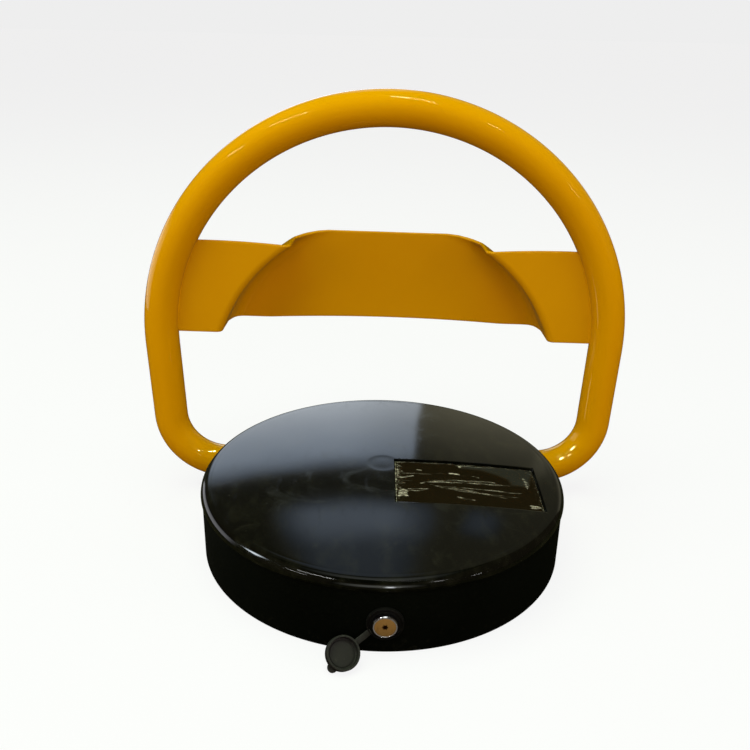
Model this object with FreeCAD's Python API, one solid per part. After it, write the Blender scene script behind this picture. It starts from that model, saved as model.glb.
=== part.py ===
import FreeCAD, Part
import math
import os
from FreeCAD import Vector

# Folding parking lock: a round motor base that is bolted to the ground, and a yellow
# loop that stands up behind it and folds forward, flat around the base.
# Origin: centre of the base's underside. +Z is up, the key lock faces -Y.
# All lengths are in millimetres and all angles in degrees.

# ---- base housing -------------------------------------------------------------------
base_radius = 163.0          # outside of the side wall
wall_thickness = 3.0
wall_height = 59.0
floor_thickness = 4.0        # steel base plate
floor_rim_gap = 0.3          # base plate to side wall
anchor_circle_radius = 125.0
anchor_count = 3
anchor_first_angle = 90.0    # one hole straight behind the centre
anchor_hole_radius = 6.5     # for 12 mm expansion bolts

# ---- brackets between the base plate and the side wall -------------------------------
bracket_angles = [0, 75, 105, 180, 225, 315]
bracket_screw_radius = 2.5
bracket_screw_inset = 9.0    # screws from the side wall's inside
bracket_half_width = 8.0
bracket_height = 20.0
bracket_sheet = 2.0
bracket_foot_length = 14.0

# ---- top cover ----------------------------------------------------------------------
cover_thickness = 3.0
cover_overhang = 1.2         # skirt outside the side wall
cover_skirt_gap = 0.25       # skirt to side wall, radially
cover_skirt_drop = 1.2       # skirt lip below the wall's top edge
cover_edge_radius = 5.0
cover_dome_rise = 10.0
gasket_thickness = 1.2
gasket_squeeze = 0.2
gasket_side_gap = 0.3        # gasket to the wall's edges
groove_inset = 6.8           # fine groove parallel to the cover's edge
groove_radius = 0.55
dimple_radius = 11.5         # shallow round dimple at the dome's centre
dimple_depth = 0.8
panel_length = 129.0         # inset panel along X
panel_width = 72.0           # inset panel along Y
panel_left = 10.5            # panel pocket's edge nearest the cover's centre
panel_back = 8.0             # panel pocket's rear edge
pocket_depth = 3.5
pocket_wall = 2.5
pocket_floor = 2.5
panel_gap = 1.1
panel_thickness = 2.0

# ---- loop ---------------------------------------------------------------------------
tube_radius = 16.0
tube_wall = 2.5
arch_radius = 214.0          # centreline of the arch
arch_height = 163.2          # arch's centre above the floor
leg_lean = 1.8               # each leg leans inward on its way down
elbow_radius = 54.0
pivot_height = 28.0
pivot_setback = 84.0         # pivot line behind the base's centre
tube_end = 82.0              # cut end of the tube from the middle plane

# ---- cross plate --------------------------------------------------------------------
sheet_thickness = 3.0
plate_height = 90.0
plate_middle_width = 116.3   # straight part of the raised middle's top edge
plate_end_rise = 1.0         # top edge rises a little towards the tube
plate_end_bow = 0.68         # how early the top edge rises, from 0.5 for straight
plate_dip = 3.0              # top edge dips where the recess begins
plate_arch = 3.5             # lower edge is arched in the middle
recess_depth = 50.0          # wings' sheet to the middle's sheet
recess_clearance = 3.1       # recess wall to cover, when folded
shoulder_radius = 6.0
valley_radius = 12.0
weld_radius = 2.4
weld_offset = 0.2            # bead's centre off the tube and the sheet
weld_stop = 2.0              # bead's end to the plate's edge

# ---- bearings -----------------------------------------------------------------------
bush_wall = 3.0
bush_clearance = 0.05
bush_overhang = 1.0
block_start = 88.0
block_width = 22.0           # along X
block_half_length = 30.0     # along Y
block_saddle = 5.0           # metal round the bush
block_ear = 10.0             # height of the cap's ears
bearing_screw_offset = 25.0
bearing_screw_radius = 3.0

# ---- gears --------------------------------------------------------------------------
gear_module = 1.0
gear_teeth = 44
pinion_teeth = 16
gear_width = 8.0
mesh_angle = 20.0            # pinion's direction above the horizontal, seen from the pivot
tooth_play = 0.08
hub_flange_thickness = 4.0
hub_flange_radius = 15.5
hub_nose_radius = 6.0
pressure_angle = 20.0
pinion_overhang = 0.75       # pinion beyond the gear, on each side
plug_length = 20.0
plug_clearance = 0.05
pin_radius = 2.5
pin_inset = 3.8              # tube's cut end to the pin
pin_recess = 0.3             # pin's ends below the tube's surface
gear_screw_circle = 11.0
gear_screw_count = 4
gear_screw_radius = 2.0
gear_screw_length = 9.0
gear_screw_head = 0.7        # head's height over its shank's radius

# ---- gearmotor ----------------------------------------------------------------------
gearbox_depth = 33.0         # along X
gearbox_ahead = 36.0         # from the output shaft towards the front
gearbox_behind = 20.0
gearbox_half_height = 20.0
gearbox_wall = 2.5
gearbox_lid = 2.5
gearbox_corner = 3.0
gearbox_screw_inset = 4.0
gearbox_screw_length = 12.0
mount_foot = 24.0            # motor bracket's foot along X
mount_screw_radius = 2.5
mount_face_inset = 5.0       # bracket's face screws from the gearbox's edges
shaft_radius = 4.0
shaft_clearance = 0.04
wheel_teeth = 40
wheel_module = 0.5
wheel_width = 8.0
worm_distance = 13.2         # output shaft to worm axis
worm_radius = 2.2
worm_shaft_radius = 1.6
motor_radius = 15.5
motor_length = 57.0
motor_wall = 1.5
motor_cap_length = 5.0
motor_magnet_start = 8.0     # behind the gearbox's face
motor_magnet_length = 32.0
motor_magnet_split = 10.0    # gap between the two magnets
rotor_radius = 9.5
rotor_start = 7.0
rotor_length = 34.0
rotor_slots = 5
rotor_slot_width = 2.0
rotor_slot_floor = 6.0       # from the rotor's axis
magnet_thickness = 3.0
worm_length = 18.0
bracket_thickness = 3.0
bracket_gap = 3.0            # gear to bracket

# ---- key lock and dust cap ----------------------------------------------------------
lock_offset = 2.0
lock_height = 28.0
lock_head_radius = 10.0
lock_head_depth = 4.5
lock_body_radius = 9.4
lock_body_length = 24.0      # behind the head
lock_plug_radius = 8.2
lock_plug_clearance = 0.05
lock_hole_clearance = 0.2
lock_nut_flats = 24.0
lock_nut_thickness = 5.0
cam_length = 22.0
cam_half_width = 5.0
cam_thickness = 2.5
cam_disc_radius = 6.5
cam_screw_radius = 5.0
cam_screw_height = 1.6
lock_head_edge = 1.2         # rounded edge of the head
lock_face_step = 0.4         # plug's face below the head's
keyway_radius = 1.6
keyway_reach = 2.4
keyway_width = 0.9
keyway_depth = 5.0
keyway_angles = [0, 60, 120]
drive_square = 6.0
drive_length = 3.0
collar_radius = 14.5
collar_thickness = 1.5
collar_bead = 1.0            # round bead along the collar's edge
cap_radius = 12.3
cap_wall = 1.2
cap_depth = 5.0
cap_top = 1.8
cap_clearance = 0.3
cap_tab_length = 17.0
cap_tab_width = 7.0
strap_width = 5.0
strap_thickness = 1.2
strap_direction = 212.0      # from the lock's centre to the strap, in the wall's plane
strap_hinge_distance = 19.6
strap_inset = 2.0            # hinge line behind the lock's face
strap_gap = 0.2              # between the strap's two halves
cap_open_angle = 140.0
cap_hinge_tilt = 15.0        # the cap's hinge line leans out of the wall's plane

# ---- cover's rear tongues and their keepers ------------------------------------------
tongue_angles = [62, 118]
tongue_inset = 13.0          # from the side wall's inside
tongue_thickness = 2.5
tongue_half_width = 8.0
tongue_toe_length = 9.0
tongue_play = 0.5            # toe to keeper
keeper_height = 46.0
keeper_sheet = 2.0
keeper_rise = 10.0
keeper_side = 2.0            # wider than the tongue, on each side
keeper_gap = 1.5             # tongue's stem to keeper

# ---- cover latch --------------------------------------------------------------------
latch_thickness = 2.0
latch_width = 14.0
latch_gap = 0.5
latch_flange = 12.0
latch_offset = 10.0          # lock's axis to the latch, along X
latch_drop = 1.0             # latch's flange below the wall's top
boss_depth = 14.0
boss_side = 2.0

# ---- battery holder -----------------------------------------------------------------
cell_radius = 16.7
cell_length = 60.5
cell_pitch = 35.0
cell_count = 4
holder_wall = 2.0
holder_height = 22.0
holder_back = -46.0
cell_clearance = 0.6
cell_cap_radius = 4.7        # raised contact at the plus end
cell_cap_height = 1.5
holder_screw_radius = 2.0
holder_screw_inset = 6.0
holder_rib_thickness = 0.8
holder_rib_height = 9.0
contact_half_width = 6.0
contact_thickness = 0.5
band_thickness = 1.2
band_half_width = 7.0

# ---- electronics --------------------------------------------------------------------
board_thickness = 1.6
board_standoff = 8.0
board_left = -56.0
board_length = 76.0
board_front = 20.0
board_width = 52.0
board_hole_inset = 4.0
standoff_radius = 3.0
small_screw_radius = 1.5
latch_screw_length = 7.0
face_screw_length = 7.0      # motor bracket to gearbox
buzzer_radius = 12.0
buzzer_height = 9.0
sensor_board_gap = 4.0
sensor_arm = 19.0            # magnet's distance from the pivot line
sensor_magnet_radius = 3.0
magnet_length = 2.4
lead_radius = 1.3
lead_run = 10.0              # straight out of each end
lead_lane = 32.0             # battery holder to where the leads cross
lead_board_gap = 10.0        # round the board's corner
lead_height = 14.0
lead_end_gap = 0.1
sensor_foot = 12.0
sensor_ahead = 26.0          # bracket's reach from the pivot line, to the front
sensor_behind = 14.0
sensor_rise = 8.0            # bracket's top above the magnet
sensor_screw_inset = 7.0
sensor_sheet = 2.0
reed_radius = 1.8
reed_length = 14.0
relay_corner = 0.8
terminal_pitch = 5.0
terminal_count = 6
terminal_hole = 3.0
# where each part sits on the board, from the board's left front corner, and its size
relay_size = (19.0, 15.0, 15.0)
relay_places = [(52.0, 7.0), (52.0, 26.0)]
chip_size = (18.0, 7.5, 2.4)
chip_place = (20.0, 22.0)
chip_leg_pitch = 2.0
chip_leg_size = (0.6, 1.2, 1.0)
capacitor_places = [(16.0, 42.0, 5.0, 16.0), (30.0, 43.0, 4.0, 12.0)]
terminal_size = (30.0, 8.0, 10.0)
terminal_place = (12.0, 0.5)
buzzer_place = (-118.0, -18.0)
buzzer_wall = 2.0

# ---- general clearances -------------------------------------------------------------
screw_clearance = 0.2
touch_gap = 0.05
grommet_thickness = 2.5
grommet_flange = 2.5
grommet_clearance = 0.5

# ---- places worked out from the sizes above -----------------------------------------
wall_inner = base_radius - wall_thickness
bracket_foot = wall_inner - bracket_foot_length
bracket_screw_circle = wall_inner - bracket_screw_inset
tongue_inner = wall_inner - tongue_inset
tongue_toe = tongue_inner + tongue_toe_length
cover_radius = base_radius + cover_overhang
cover_rim_height = wall_height - gasket_squeeze + gasket_thickness + cover_edge_radius
dome_edge = cover_radius - cover_edge_radius
dish_height = pivot_height + pivot_setback       # recess axis, over the base when folded
recess_inner = cover_radius + recess_clearance
plate_top = dish_height + math.sqrt((recess_inner - valley_radius) ** 2 - (plate_middle_width / 2) ** 2)
plate_bottom = plate_top - plate_height
bush_outer = tube_radius + bush_clearance + bush_wall
block_end = block_start + block_width
gear_radius = gear_module * gear_teeth / 2
pinion_radius = gear_module * pinion_teeth / 2
gear_inner = tube_end - hub_flange_thickness - gear_width
gear_distance = gear_radius + pinion_radius
mesh_turn = math.radians(mesh_angle)
shaft_y = pivot_setback - gear_distance * math.cos(mesh_turn)
shaft_z = pivot_height + gear_distance * math.sin(mesh_turn)
bracket_outer = gear_inner - bracket_gap
gearbox_face = bracket_outer - bracket_thickness
gearbox_back = gearbox_face - gearbox_depth
gearbox_front = shaft_y - gearbox_ahead
worm_x = gearbox_face - gearbox_depth / 2
worm_z = shaft_z - worm_distance
lock_wall = -math.sqrt(base_radius ** 2 - lock_offset ** 2)
lock_seat = lock_wall - collar_thickness
lock_face = lock_seat - lock_head_depth
lock_axis = Vector(lock_offset, 0, lock_height)
lock_end = lock_seat + lock_body_length
strap_turn = math.radians(strap_direction)
strap_line = Vector(math.cos(strap_turn), 0, math.sin(strap_turn))
hinge_axis = Vector(-math.sin(strap_turn), 0, math.cos(strap_turn))
flip_tilt = math.radians(cap_hinge_tilt)
flip_axis = hinge_axis * math.cos(flip_tilt) - Vector(0, 1, 0) * math.sin(flip_tilt)
hinge_y = lock_face + strap_inset
hinge_point = lock_axis + Vector(0, hinge_y, 0) + strap_line * strap_hinge_distance
latch_flange_top = wall_height - latch_drop
latch_left = lock_offset + latch_offset
latch_front = lock_end + cam_thickness + latch_gap
cell_z = floor_thickness + holder_wall + cell_clearance + cell_radius
holder_half = cell_count * cell_pitch / 2 + holder_wall
board_low = floor_thickness + board_standoff
board_top = board_low + board_thickness
holder_front = holder_back - cell_length - 2 * holder_wall - 4 * cell_clearance

X = Vector(1, 0, 0)
Y = Vector(0, 1, 0)
Z = Vector(0, 0, 1)
ORIGIN = Vector(0, 0, 0)


# ---- shape helpers ------------------------------------------------------------------
def block(x_low, x_high, y_low, y_high, z_low, z_high):
    """A box between two corners."""
    corner = Vector(x_low, y_low, z_low)
    return Part.makeBox(x_high - x_low, y_high - y_low, z_high - z_low, corner)


def rod(radius, start, direction, length):
    """A cylinder that starts at a point and runs along a direction."""
    return Part.makeCylinder(radius, length, start, direction)


def sleeve(outer, inner, start, direction, length):
    """A round tube, open at both ends."""
    return rod(outer, start, direction, length).cut(rod(inner, start, direction, length))


def shell_between(inner, outer, z_low, z_high):
    """An upright ring about the base's centre."""
    return sleeve(outer, inner, Vector(0, 0, z_low), Z, z_high - z_low)


def line(a, b):
    return Part.makeLine(a, b)


def arc(centre, radius, start, end, u, v):
    """An arc in the plane of u and v, from one angle to another."""
    def point(angle):
        turn = math.radians(angle)
        return centre + u * (radius * math.cos(turn)) + v * (radius * math.sin(turn))
    return Part.Arc(point(start), point((start + end) / 2), point(end)).toShape()


def face_of(edges):
    return Part.Face(Part.Wire(edges))


def outline(points):
    """A flat face with straight sides through the points."""
    return Part.Face(Part.makePolygon(points + [points[0]]))


def turned(shape, angle, point=ORIGIN, axis=Z):
    copy = shape.copy()
    copy.rotate(point, axis, angle)
    return copy


def mirrored(shape):
    """The same piece on the other side of the middle plane."""
    return shape.mirror(ORIGIN, X)


def both_sides(shape):
    return [shape, mirrored(shape)]


def drilled(shape, tools):
    for tool in tools:
        shape = shape.cut(tool)
    return shape


def screw(radius, length, seat, direction, head=1.8, height=0.9):
    """A socket screw: its head stands on the seat and its shank runs along direction."""
    head_radius = radius * head
    head_height = radius * height
    top = seat - direction * head_height
    body = rod(head_radius, top, direction, head_height)
    body = body.fuse(rod(radius, seat, direction, length))
    return body.cut(rod(radius * 0.8, top, direction, head_height * 0.6)).removeSplitter()


def screw_hole(radius, length, seat, direction):
    return rod(radius + screw_clearance, seat - direction, direction, length + 2)


def save(name, pieces):
    """Write one node; a list of solids becomes a group of separate solids."""
    if not isinstance(pieces, list):
        pieces = [pieces]
    solids = [solid for piece in pieces for solid in piece.Solids]
    shape = solids[0] if len(solids) == 1 else Part.makeCompound(solids)
    shape.exportStep(os.path.join("parts", name + ".step"))


# ---- screw places shared by the pieces that they join -------------------------------
def around(angle, radius, height):
    turn = math.radians(angle)
    return Vector(radius * math.cos(turn), radius * math.sin(turn), height)


bracket_seats = [around(angle, bracket_screw_circle, floor_thickness + bracket_sheet)
                 for angle in bracket_angles]
bearing_x = block_start + block_width / 2
bearing_seats = [Vector(side * bearing_x, pivot_setback + way * bearing_screw_offset,
                        pivot_height + block_ear)
                 for side in (-1, 1) for way in (-1, 1)]
mount_seats = [Vector(gearbox_face - mount_foot / 2, y, floor_thickness + bracket_thickness)
               for y in (gearbox_front + 8, shaft_y, shaft_y + gearbox_behind - 6)]
board_corners = [Vector(board_left + x, board_front + y, floor_thickness)
                 for x in (board_hole_inset, board_length - board_hole_inset)
                 for y in (board_hole_inset, board_width - board_hole_inset)]
holder_seats = [Vector(side * cell_pitch, y, floor_thickness + holder_wall)
                for side in (-1, 1) for y in (holder_back - holder_screw_inset,
                                              holder_front + holder_screw_inset)]
sensor_x = -(tube_end - hub_flange_thickness - sensor_board_gap)
sensor_seats = [Vector(sensor_x + sensor_sheet + sensor_foot / 2 + 1, y, floor_thickness + sensor_sheet)
                for y in (pivot_setback - sensor_ahead + sensor_screw_inset,
                          pivot_setback + sensor_behind - sensor_screw_inset)]


# ---- base housing -------------------------------------------------------------------
def base_plate():
    plate = rod(wall_inner - floor_rim_gap, ORIGIN, Z, floor_thickness)
    holes = [rod(anchor_hole_radius, around(anchor_first_angle + 360 * i / anchor_count,
                                         anchor_circle_radius, -1),
                 Z, floor_thickness + 2) for i in range(anchor_count)]
    for seats, radius in ((bracket_seats, bracket_screw_radius), (bearing_seats, bearing_screw_radius),
                          (mount_seats, mount_screw_radius), (sensor_seats, small_screw_radius),
                          (holder_seats, holder_screw_radius), (board_corners, small_screw_radius)):
        holes += [rod(radius + screw_clearance, Vector(seat.x, seat.y, -1), Z, floor_thickness + 2)
                  for seat in seats]
    return drilled(plate, holes)


def notch_shape(extra):
    """The upright slot round the right tube, open at the bottom, as a long prism along X."""
    radius = tube_radius + grommet_thickness + extra
    start = Vector(bearing_x, pivot_setback, pivot_height)
    reach = base_radius - bearing_x + 20
    slot = block(start.x, start.x + reach, pivot_setback - radius, pivot_setback + radius, -1, pivot_height)
    return rod(radius, start, X, reach).fuse(slot)


def side_wall():
    wall = shell_between(wall_inner, base_radius, 0, wall_height)
    wall = drilled(wall, both_sides(notch_shape(0)))
    hole = rod(lock_body_radius + lock_hole_clearance, lock_axis + Vector(0, lock_wall - 5, 0), Y, 15)
    return wall.cut(hole)


def wall_brackets():
    pieces = []
    top = floor_thickness + bracket_height
    for angle in bracket_angles:
        half = bracket_half_width
        tab = shell_between(wall_inner - bracket_sheet, wall_inner, floor_thickness, top)
        tab = tab.common(block(bracket_foot, base_radius, -half, half, floor_thickness, top))
        foot = rod(wall_inner, Vector(0, 0, floor_thickness), Z, bracket_sheet)
        foot = foot.common(block(bracket_foot, base_radius, -half, half, floor_thickness, top))
        piece = tab.fuse(foot).removeSplitter()
        piece = piece.cut(rod(bracket_screw_radius + screw_clearance,
                              Vector(bracket_screw_circle, 0, 0), Z, top))
        pieces.append(turned(piece, angle))
    return pieces


def floor_screws(seats, radius, lowest=0.5):
    down = Vector(0, 0, -1)
    return [screw(radius, seat.z - lowest, seat, down) for seat in seats]


def grommet():
    """Rubber edging between the side wall and the right tube."""
    plug = notch_shape(-touch_gap).common(shell_between(wall_inner - 2, base_radius + 1.2, 0.3, wall_height))
    inside = shell_between(wall_inner - 2, wall_inner - touch_gap, 0.3, wall_height)
    outside = shell_between(base_radius + touch_gap, base_radius + 1.2, 0.3, wall_height)
    foot_clear = rod(wall_inner, Vector(0, 0, -1), Z, floor_thickness + 1.1)
    flange = notch_shape(grommet_flange).common(inside.fuse(outside))
    bore = rod(tube_radius + grommet_clearance, Vector(bearing_x, pivot_setback, pivot_height), X, 90)
    piece = plug.fuse(flange).cut(bore).cut(foot_clear)
    return piece.removeSplitter()


# ---- top cover ----------------------------------------------------------------------
def dome_ball(lower, edge, rim):
    """A ball whose upper surface is the dome lowered by some amount."""
    radius = (edge ** 2 + cover_dome_rise ** 2) / (2 * cover_dome_rise)
    top = rim + cover_dome_rise - lower
    return radius, top - radius


def dome_solid(lower):
    radius, centre = dome_ball(lower, dome_edge, cover_rim_height)
    return Part.makeSphere(radius, Vector(0, 0, centre))


def pocket_prism(grow, z_low, z_high):
    return block(panel_left - grow, panel_left + panel_length + grow,
                 panel_back - panel_width - grow, panel_back + grow, z_low, z_high)


def cover_shell():
    """The dome, rounded edge and skirt, turned about the base's centre."""
    lip = wall_height - cover_skirt_drop
    edge_centre = Vector(dome_edge, 0, cover_rim_height - cover_edge_radius)
    radius, centre = dome_ball(0, dome_edge, cover_rim_height)
    middle = dome_edge / 2
    dome_middle = Vector(middle, 0, centre + math.sqrt(radius ** 2 - middle ** 2))
    dome_top = Vector(0, 0, cover_rim_height + cover_dome_rise)
    ledge = wall_height + gasket_thickness
    inner_edge = dome_edge - cover_thickness
    inner_radius, inner_centre = dome_ball(cover_thickness, dome_edge, cover_rim_height)
    inner_low = inner_centre + math.sqrt(inner_radius ** 2 - inner_edge ** 2)
    inner_middle = Vector(middle, 0, inner_centre + math.sqrt(inner_radius ** 2 - middle ** 2))
    inner_top = Vector(0, 0, cover_rim_height + cover_dome_rise - cover_thickness)
    skirt = base_radius + cover_skirt_gap
    edges = [line(Vector(cover_radius, 0, lip), Vector(cover_radius, 0, edge_centre.z)),
             arc(edge_centre, cover_edge_radius, 0, 90, X, Z),
             Part.Arc(Vector(dome_edge, 0, cover_rim_height), dome_middle, dome_top).toShape(),
             line(dome_top, inner_top),
             Part.Arc(inner_top, inner_middle, Vector(inner_edge, 0, inner_low)).toShape(),
             line(Vector(inner_edge, 0, inner_low), Vector(inner_edge, 0, ledge)),
             line(Vector(inner_edge, 0, ledge), Vector(skirt, 0, ledge)),
             line(Vector(skirt, 0, ledge), Vector(skirt, 0, lip)),
             line(Vector(skirt, 0, lip), Vector(cover_radius, 0, lip))]
    return face_of(edges).revolve(ORIGIN, Z, 360)


def top_cover():
    cover = cover_shell()
    groove_at = cover_radius - groove_inset
    radius, centre = dome_ball(0, dome_edge, cover_rim_height)
    groove_z = centre + math.sqrt(radius ** 2 - groove_at ** 2)
    cover = cover.cut(Part.makeTorus(groove_at, groove_radius, Vector(0, 0, groove_z), Z))
    dimple_ball = (dimple_radius ** 2 + dimple_depth ** 2) / (2 * dimple_depth)
    dome_top = cover_rim_height + cover_dome_rise
    cover = cover.cut(Part.makeSphere(dimple_ball, Vector(0, 0, dome_top - dimple_depth + dimple_ball)))
    low = wall_height - 2 * pocket_depth
    tray = pocket_prism(pocket_wall, low, dome_top)
    tray = tray.common(dome_solid(cover_thickness / 2)).cut(dome_solid(pocket_depth + pocket_floor))
    tray = tray.common(rod(dome_edge - cover_thickness / 2, Vector(0, 0, low), Z, wall_height))
    cover = cover.fuse(tray)
    pocket = pocket_prism(0, low, dome_top + 1).cut(dome_solid(pocket_depth))
    cover = cover.cut(pocket)
    under = dome_solid(cover_thickness / 2)
    for angle in tongue_angles:
        half = tongue_half_width
        low_toe = keeper_height - tongue_play - tongue_thickness
        stem = block(tongue_inner, tongue_inner + tongue_thickness, -half, half, low_toe, dome_top)
        toe = block(tongue_inner, tongue_toe, -half, half, low_toe, low_toe + tongue_thickness)
        cover = cover.fuse(turned(stem.common(under).fuse(toe), angle))
    boss = block(latch_left - boss_side, latch_left + latch_width + boss_side, latch_front,
                 latch_front + boss_depth, latch_flange_top, dome_top)
    cover = cover.fuse(boss.common(under)).removeSplitter()
    holes = [rod(small_screw_radius + screw_clearance, Vector(seat.x, seat.y, seat.z - 2), Z, 10)
             for seat in latch_seats()]
    return drilled(cover, holes)


def latch_seats():
    height = latch_flange_top - latch_thickness
    return [Vector(latch_left + part * latch_width, latch_front + latch_flange / 2 + 1, height)
            for part in (0.25, 0.75)]


def cover_latch():
    """Hangs from the cover; its foot reaches under the lock's cam."""
    left, right = latch_left, latch_left + latch_width
    front = latch_front
    foot_top = lock_height - cam_half_width - latch_gap
    foot_low = foot_top - latch_thickness
    strip = block(left, right, front, front + latch_thickness, foot_low, latch_flange_top)
    foot = block(left, right, front - latch_gap - cam_thickness - 2, front + latch_thickness,
                 foot_low, foot_top)
    flange = block(left, right, front, front + latch_flange, latch_flange_top - latch_thickness,
                   latch_flange_top)
    latch = strip.fuse(foot).fuse(flange).removeSplitter()
    holes = [rod(small_screw_radius + screw_clearance, Vector(seat.x, seat.y, seat.z - 1), Z, 5)
             for seat in latch_seats()]
    return drilled(latch, holes)


def rear_keepers():
    pieces = []
    half = tongue_half_width + keeper_side
    for angle in tongue_angles:
        shelf = block(tongue_inner + tongue_thickness + keeper_gap, base_radius, -half, half,
                      keeper_height, keeper_height + keeper_sheet)
        shelf = shelf.common(rod(wall_inner, Vector(0, 0, keeper_height), Z, keeper_sheet))
        tab = shell_between(wall_inner - keeper_sheet, wall_inner, keeper_height,
                            keeper_height + keeper_rise)
        tab = tab.common(block(tongue_inner, base_radius, -half, half, keeper_height, wall_height))
        pieces.append(turned(shelf.fuse(tab).removeSplitter(), angle))
    return pieces


def cover_gasket():
    return shell_between(wall_inner + gasket_side_gap, base_radius - gasket_side_gap, wall_height,
                         wall_height + gasket_thickness)


def inset_panel():
    sheet = pocket_prism(-panel_gap, wall_height, cover_rim_height + cover_dome_rise + 1)
    upper = dome_solid(pocket_depth - panel_thickness)
    return sheet.common(upper).cut(dome_solid(pocket_depth))


# ---- loop ---------------------------------------------------------------------------
def loop_path():
    """Centreline from the right cut end, up, over the arch and down to the left end."""
    lean = math.radians(leg_lean)
    centre = Vector(0, pivot_setback, arch_height)
    leg_top = centre + Vector(math.cos(lean), 0, -math.sin(lean)) * arch_radius
    drop = leg_top.z - pivot_height
    corner = Vector(leg_top.x - drop * math.tan(lean), pivot_setback, pivot_height)
    reach = elbow_radius * math.tan(math.radians(90 - leg_lean) / 2)
    level_end = corner - X * reach
    leg_end = corner + Vector(math.sin(lean), 0, math.cos(lean)) * reach
    elbow_centre = level_end + Z * elbow_radius
    elbow = arc(elbow_centre, elbow_radius, -90, -leg_lean, X, Z)
    right = [line(Vector(tube_end, pivot_setback, pivot_height), level_end), elbow,
             line(leg_end, leg_top)]
    arch = arc(centre, arch_radius, -leg_lean, 180 + leg_lean, X, Z)
    left = mirrored(Part.Wire(right)).Edges
    return Part.Wire(Part.__sortEdges__(right + [arch] + left))


def swept(radius):
    start = Vector(tube_end, pivot_setback, pivot_height)
    ring = Part.Wire(Part.makeCircle(radius, start, X))
    return loop_path().makePipeShell([ring], True, False)


def hub_pin_hole(extra):
    length = 2 * (tube_radius - pin_recess)
    start = Vector(tube_end + pin_inset, pivot_setback, pivot_height - length / 2)
    beyond = 1.0 if extra else 0.0
    return rod(pin_radius + extra, start - Z * beyond, Z, length + 2 * beyond)


def loop_tube(solid):
    tube = solid.cut(swept(tube_radius - tube_wall))
    return drilled(tube, both_sides(hub_pin_hole(touch_gap)))


def cross_plate(solid):
    """Sheet with a round recess; folded forward, the recess goes over the base."""
    half = sheet_thickness / 2
    shoulder = recess_inner + shoulder_radius
    valley = recess_inner - valley_radius
    reach = arch_radius + 2 * tube_radius
    front, back = -half, half
    deep_front = recess_depth - half
    deep_back = recess_depth + half
    axis_point = Vector(0, pivot_setback, dish_height)

    def place(radius, depth):
        return axis_point + X * radius + Y * depth

    shoulder_centre = place(shoulder, front + shoulder_radius)
    valley_centre = place(valley, deep_front - valley_radius)
    wall_out = recess_inner + sheet_thickness
    edges = [line(place(reach, front), place(shoulder, front)),
             arc(shoulder_centre, shoulder_radius, 270, 180, X, Y),
             line(place(recess_inner, front + shoulder_radius),
                  place(recess_inner, deep_front - valley_radius)),
             arc(valley_centre, valley_radius, 0, 90, X, Y),
             line(place(valley, deep_front), place(0, deep_front)),
             line(place(0, deep_front), place(0, deep_back)),
             line(place(0, deep_back), place(valley, deep_back)),
             arc(valley_centre, valley_radius + sheet_thickness, 90, 0, X, Y),
             line(place(wall_out, deep_front - valley_radius), place(wall_out, front + shoulder_radius)),
             arc(shoulder_centre, shoulder_radius - sheet_thickness, 180, 270, X, Y),
             line(place(shoulder, back), place(reach, back)),
             line(place(reach, back), place(reach, front))]
    dish = face_of(edges).revolve(axis_point, Y, 360)
    return dish.common(plate_strip()).cut(solid)


def plate_strip():
    """The sheet's outline from the front, from one tube's centreline to the other's."""
    y_low = pivot_setback - tube_radius
    above = plate_top - dish_height
    kink = math.sqrt((recess_inner + shoulder_radius / 2) ** 2 - above ** 2)
    inner = plate_middle_width / 2
    end = arch_radius

    def at(x, z):
        return Vector(x, y_low, z)

    def top_side(side):
        middle = (kink + end) / 2
        rise = plate_top + plate_end_rise
        low = plate_top - plate_dip
        start = at(side * end, rise)
        bow = at(side * middle, low + (rise - low) * plate_end_bow)
        return Part.Arc(start, bow, at(side * kink, low)).toShape()

    low_arch = Part.Arc(at(-inner * 2, plate_bottom), at(0, plate_bottom + plate_arch),
                        at(inner * 2, plate_bottom)).toShape()
    edges = [top_side(-1),
             line(at(-kink, plate_top - plate_dip), at(-inner, plate_top)),
             line(at(-inner, plate_top), at(inner, plate_top)),
             line(at(inner, plate_top), at(kink, plate_top - plate_dip)),
             top_side(1),
             line(at(end, plate_top + plate_end_rise), at(end, plate_bottom)),
             line(at(end, plate_bottom), at(inner * 2, plate_bottom)),
             low_arch,
             line(at(-inner * 2, plate_bottom), at(-end, plate_bottom)),
             line(at(-end, plate_bottom), at(-end, plate_top + plate_end_rise))]
    strip = face_of(Part.__sortEdges__(edges)).extrude(Y * (recess_depth + 2 * tube_radius))
    inside = rod(arch_radius, Vector(0, y_low - 1, arch_height), Y, recess_depth + 3 * tube_radius)
    return strip.common(inside)


def plate_welds(solid, plate):
    """Four weld beads, in front of and behind each end of the cross plate."""
    ring_radius = arch_radius - tube_radius + weld_offset
    beads = []
    for way in (-1, 1):
        centre = Vector(0, pivot_setback + way * (sheet_thickness / 2 + weld_offset), arch_height)
        torus = Part.makeTorus(ring_radius, weld_radius, centre, Y)
        for side in (-1, 1):
            x_near = side * (arch_radius - tube_radius) * 0.7
            x_far = side * arch_radius
            window = block(min(x_near, x_far), max(x_near, x_far), pivot_setback - tube_radius,
                           pivot_setback + tube_radius, plate_bottom + weld_stop, plate_top - weld_stop)
            keep = torus.common(window).cut(solid).cut(plate)
            beads.append(max(keep.Solids, key=lambda item: item.Volume))
    return beads


# ---- bearings -----------------------------------------------------------------------
def bush():
    start = Vector(block_start - bush_overhang, pivot_setback, pivot_height)
    return sleeve(bush_outer, tube_radius + bush_clearance, start, X, block_width + 2 * bush_overhang)


def bearing_bore():
    return rod(bush_outer, Vector(block_start - 5, pivot_setback, pivot_height), X, block_width + 10)


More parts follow.
